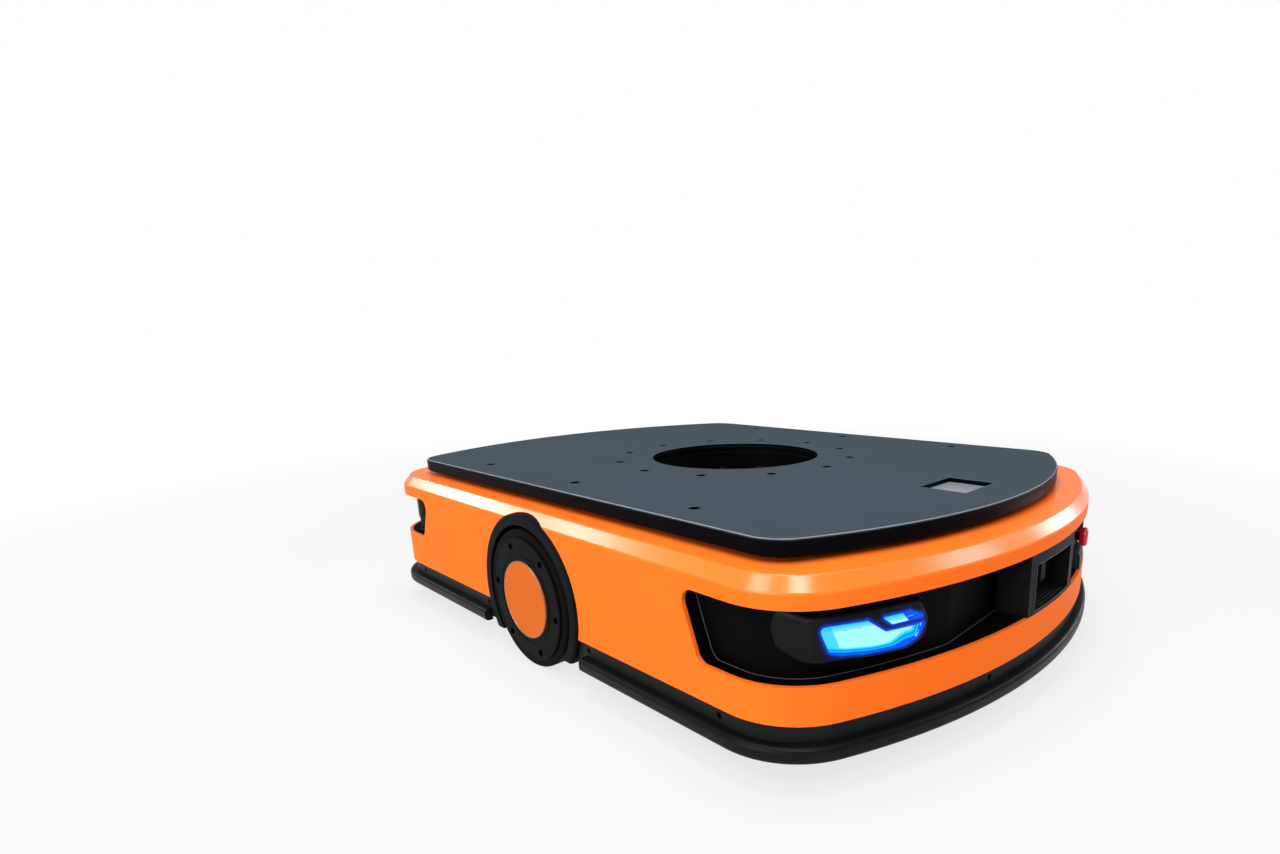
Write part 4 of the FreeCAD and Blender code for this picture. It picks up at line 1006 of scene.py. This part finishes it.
PANEL_INSET, LIGHT_DROP = 1.0 * MM, 13.5 * MM
light_profile = [(AXIS, 0.3), (0.6, 0.28), (0.9, 0.1), (0.95, -0.5), (AXIS, -0.5)]
lights = []
for spot in key_spots:
    seat = arc_spot(spot.y, spot.z - LIGHT_DROP, FRONT, PANEL_INSET)
    lights.append((light_profile, end_place(seat, FRONT)))
turned("panel_lights", lights, "mark_white", "chassis", 24)


# ---- stop buttons
HEAD_HEIGHT, HEAD_RADIUS = 9.0, 11.5
HEAD_TOP = HEAD_HEIGHT / 2
head_profile = [(AXIS, HEAD_TOP - 0.9), (5.0, HEAD_TOP - 0.75), (7.2, HEAD_TOP - 0.45),
                (8.4, HEAD_TOP - 0.15), (9.6, HEAD_TOP - 0.35), (10.7, HEAD_TOP - 1.2),
                (11.3, HEAD_TOP - 2.4), (HEAD_RADIUS, HEAD_TOP - 4.0), (11.2, HEAD_TOP - 5.6),
                (10.2, HEAD_TOP - 7.2), (9.3, -HEAD_TOP), (5.2, -HEAD_TOP), (5.2, HEAD_TOP - 3.5),
                (AXIS, HEAD_TOP - 3.5)]
ARROW_FOOT, ARROW_HEIGHT = HEAD_TOP - 1.4, 0.95
ARROW_START, ARROW_SWEEP, ARROW_TIP = 0.25, 1.05, 1.55      # angles in radians
TIP_BACK = 1.02


def add_arrow_part(shape, points, place):
    """Adds a flat form on the button's face, from an outline in millimetres."""
    low = [shape.verts.new(place @ (Vector((ARROW_FOOT, y, z)) * MM)) for y, z in points]
    high = [shape.verts.new(place @ (Vector((ARROW_FOOT + ARROW_HEIGHT, y, z)) * MM)) for y, z in points]
    shape.faces.new(high)
    join_rings(shape, [low, high])
    shape.faces.new(low[::-1])


for end, word in ((FRONT, "front"), (REAR, "rear")):
    place = end_place(middle(word + "_stop_head"), end)
    knob = word + "_stop_knob"
    head = turned(word + "_stop_mushroom", [(head_profile, place)], "stop_red", knob, 96)
    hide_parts(word + "_stop_head")
    shape = bmesh.new()
    for k in range(3):
        start = 2 * math.pi * k / 3 + ARROW_START
        stop = start + ARROW_SWEEP
        add_arrow_part(shape, arc(7.3, start, stop, 12) + arc(5.6, stop, start, 12), place)
        back = start + TIP_BACK
        tip = [arc(radius, angle, angle, 1)[0]
               for radius, angle in ((8.1, back), (6.4, start + ARROW_TIP), (4.7, back))]
        add_arrow_part(shape, tip, place)
    arrows = from_bmesh(word + "_stop_arrows", shape)
    put(word + "_stop_arrows", arrows, "mark_white", knob)

# ---- docking bay
bay_low, bay_high = low_corner("rear_bay_frame"), high_corner("rear_bay_frame")
mouth_y = bay_high.y - 13 * MM
mouth_low, mouth_high = bay_low.z + 3 * MM, bay_high.z - 12 * MM
BAY_INSET = 1.0 * MM


ROW_STEPS = 12


def arc_row(start_y, end_y, z, inset):
    """Line across the rear end, an inset inside its arc."""
    row = [start_y + (end_y - start_y) * k / ROW_STEPS for k in range(ROW_STEPS + 1)]
    return [arc_spot(y, z, REAR, inset) for y in row]


mouth = arc_row(-mouth_y, mouth_y, mouth_low, BAY_INSET) + arc_row(mouth_y, -mouth_y, mouth_high, BAY_INSET)
bead("bay_mouth_lip", [mouth], 0.9, "lip_grey", "chassis", True)
rib_y, rib_level = mouth_y - 2 * MM, mouth_low + 0.2 * MM
ribs = [arc_row(-rib_y, rib_y, rib_level, inset * MM) for inset in (6, 10, 14, 18)]
bead("bay_floor_ribs", ribs, 1.4, "frame_black", "chassis")

# ---- screws
SCREW_LEVEL, SCREW_INSET = 48 * MM, 4.2 * MM
SIDE_SCREWS, END_SCREW_Y = (-302, -108.5, 108.5, 302), 120 * MM
screw_head = [(AXIS, -0.9), (1.5, -0.9), (1.55, 0.2), (2.3, 0.35), (2.8, 0.1), (2.9, -0.8), (2.9, -2.0),
              (AXIS, -2.0)]
screws = []
for side in (LEFT, RIGHT):
    for x in SIDE_SCREWS:
        spot = Vector((x * MM, side * (half_width - SCREW_INSET), SCREW_LEVEL))
        screws.append((screw_head, side_place(spot, side)))
for end in (FRONT, REAR):
    for side in (LEFT, RIGHT):
        spot = arc_spot(side * END_SCREW_Y, SCREW_LEVEL, end, SCREW_INSET)
        screws.append((screw_head, end_place(spot, end)))
turned("skirt_screws", screws, "slot_black", "chassis", 24)

# ---- floor, light and camera
FLOOR_HALF = 40.0
FLOOR_NEAR, FLOOR_FAR = (0.76, 0.76, 0.76), (0.97, 0.97, 0.97)
floor_mesh = bpy.data.meshes.new("studio_floor")
floor_corners = [(FLOOR_HALF * a, FLOOR_HALF * b, 0) for a, b in ((-1, -1), (1, -1), (1, 1), (-1, 1))]
floor_mesh.from_pydata(floor_corners, [], [(0, 1, 2, 3)])
floor = bpy.data.objects.new("studio_floor", floor_mesh)
bpy.context.scene.collection.objects.link(floor)
floor_finish = Finish("studio_floor", Specular_IOR_Level=0.0, Emission_Strength=1.0)
dull = floor_finish.blend(floor_finish.grain(3.0), (0.105, 0.105, 0.107), (0.115, 0.115, 0.116))
floor_finish.set("Base Color", dull)
away = floor_finish.distance().step(0.7, 3.0)
floor_finish.set("Emission Color", floor_finish.blend(away, FLOOR_NEAR, FLOOR_FAR))
floor_finish.set("Roughness", 0.9)
floor_mesh.materials.append(floor_finish.material)

# The camera sees a white backdrop, while dimmer and cooler walls light the robot.
WALL_COLOUR, WALL_STRENGTH = (0.90, 0.95, 1.0, 1.0), 0.34
scene = bpy.context.scene
scene.world = bpy.data.worlds.new("studio")
scene.world.use_nodes = True
sky = scene.world.node_tree
backdrop = next(n for n in sky.nodes if n.type == "BACKGROUND")
walls = sky.nodes.new("ShaderNodeBackground")
seen = sky.nodes.new("ShaderNodeLightPath")
choice = sky.nodes.new("ShaderNodeMixShader")
backdrop.inputs["Color"].default_value = (1.0, 1.0, 1.0, 1.0)
walls.inputs["Color"].default_value = WALL_COLOUR
walls.inputs["Strength"].default_value = WALL_STRENGTH
sky.links.new(seen.outputs["Is Camera Ray"], choice.inputs[0])
sky.links.new(walls.outputs[0], choice.inputs[1])
sky.links.new(backdrop.outputs[0], choice.inputs[2])
sky.links.new(choice.outputs[0], next(n for n in sky.nodes if n.type == "OUTPUT_WORLD").inputs["Surface"])
scene.view_settings.view_transform = "Standard"


def softbox(name, spot, width, height, power, colour=(1.0, 1.0, 1.0)):
    """Flat lamp turned towards the robot's centre on the floor, out of the camera's sight."""
    light = bpy.data.lights.new(name, "AREA")
    light.shape = "RECTANGLE"
    light.size, light.size_y = width, height
    light.energy = power
    light.color = colour
    lamp = bpy.data.objects.new(name, light)
    lamp.location = spot
    lamp.rotation_mode = "QUATERNION"
    lamp.rotation_quaternion = (-Vector(spot)).to_track_quat("-Z", "Y")
    lamp.visible_camera = False
    scene.collection.objects.link(lamp)


softbox("overhead", (0.0, 0.1, 2.6), 1.2, 1.2, 62.0)
softbox("left_wall", (-0.3, 2.6, 0.75), 1.6, 0.9, 32.0, (1.0, 0.95, 0.86))
softbox("front_left_low", (2.39, 1.05, 0.98), 0.16, 0.16, 3.8)
softbox("front_left_high", (1.94, 1.28, 1.23), 0.16, 0.16, 3.6)
softbox("rear_left", (-1.41, 1.33, 2.21), 0.70, 0.70, 26.0)
softbox("left", (0.06, 1.95, 2.03), 0.80, 0.60, 14.0)
softbox("rear_right", (-1.98, -1.35, 1.44), 0.60, 0.60, 9.0)
softbox("right_low", (-1.18, -2.34, 0.70), 0.60, 0.60, 10.0)

CAMERA_SPOT = (-0.67327, 0.67604, 0.34774)
CAMERA_AXES = ((-0.75302474, -0.65791659, -0.00997567), (0.14171394, -0.17696774, 0.97396077),
               (-0.64255032, 0.73200286, 0.22649704))
SENSOR_WIDTH, FOCAL_LENGTH = 36.0, 18.575       # millimetres
camera_data = bpy.data.cameras.new("camera")
camera_data.sensor_width, camera_data.lens = SENSOR_WIDTH, FOCAL_LENGTH
camera_data.shift_x, camera_data.shift_y = -0.1075, 0.0610
camera_data.clip_start, camera_data.clip_end = 0.01, 200.0
camera = bpy.data.objects.new("camera", camera_data)
camera.matrix_world = Matrix.Translation(CAMERA_SPOT) @ Matrix(CAMERA_AXES).transposed().to_4x4()
scene.collection.objects.link(camera)
scene.camera = camera
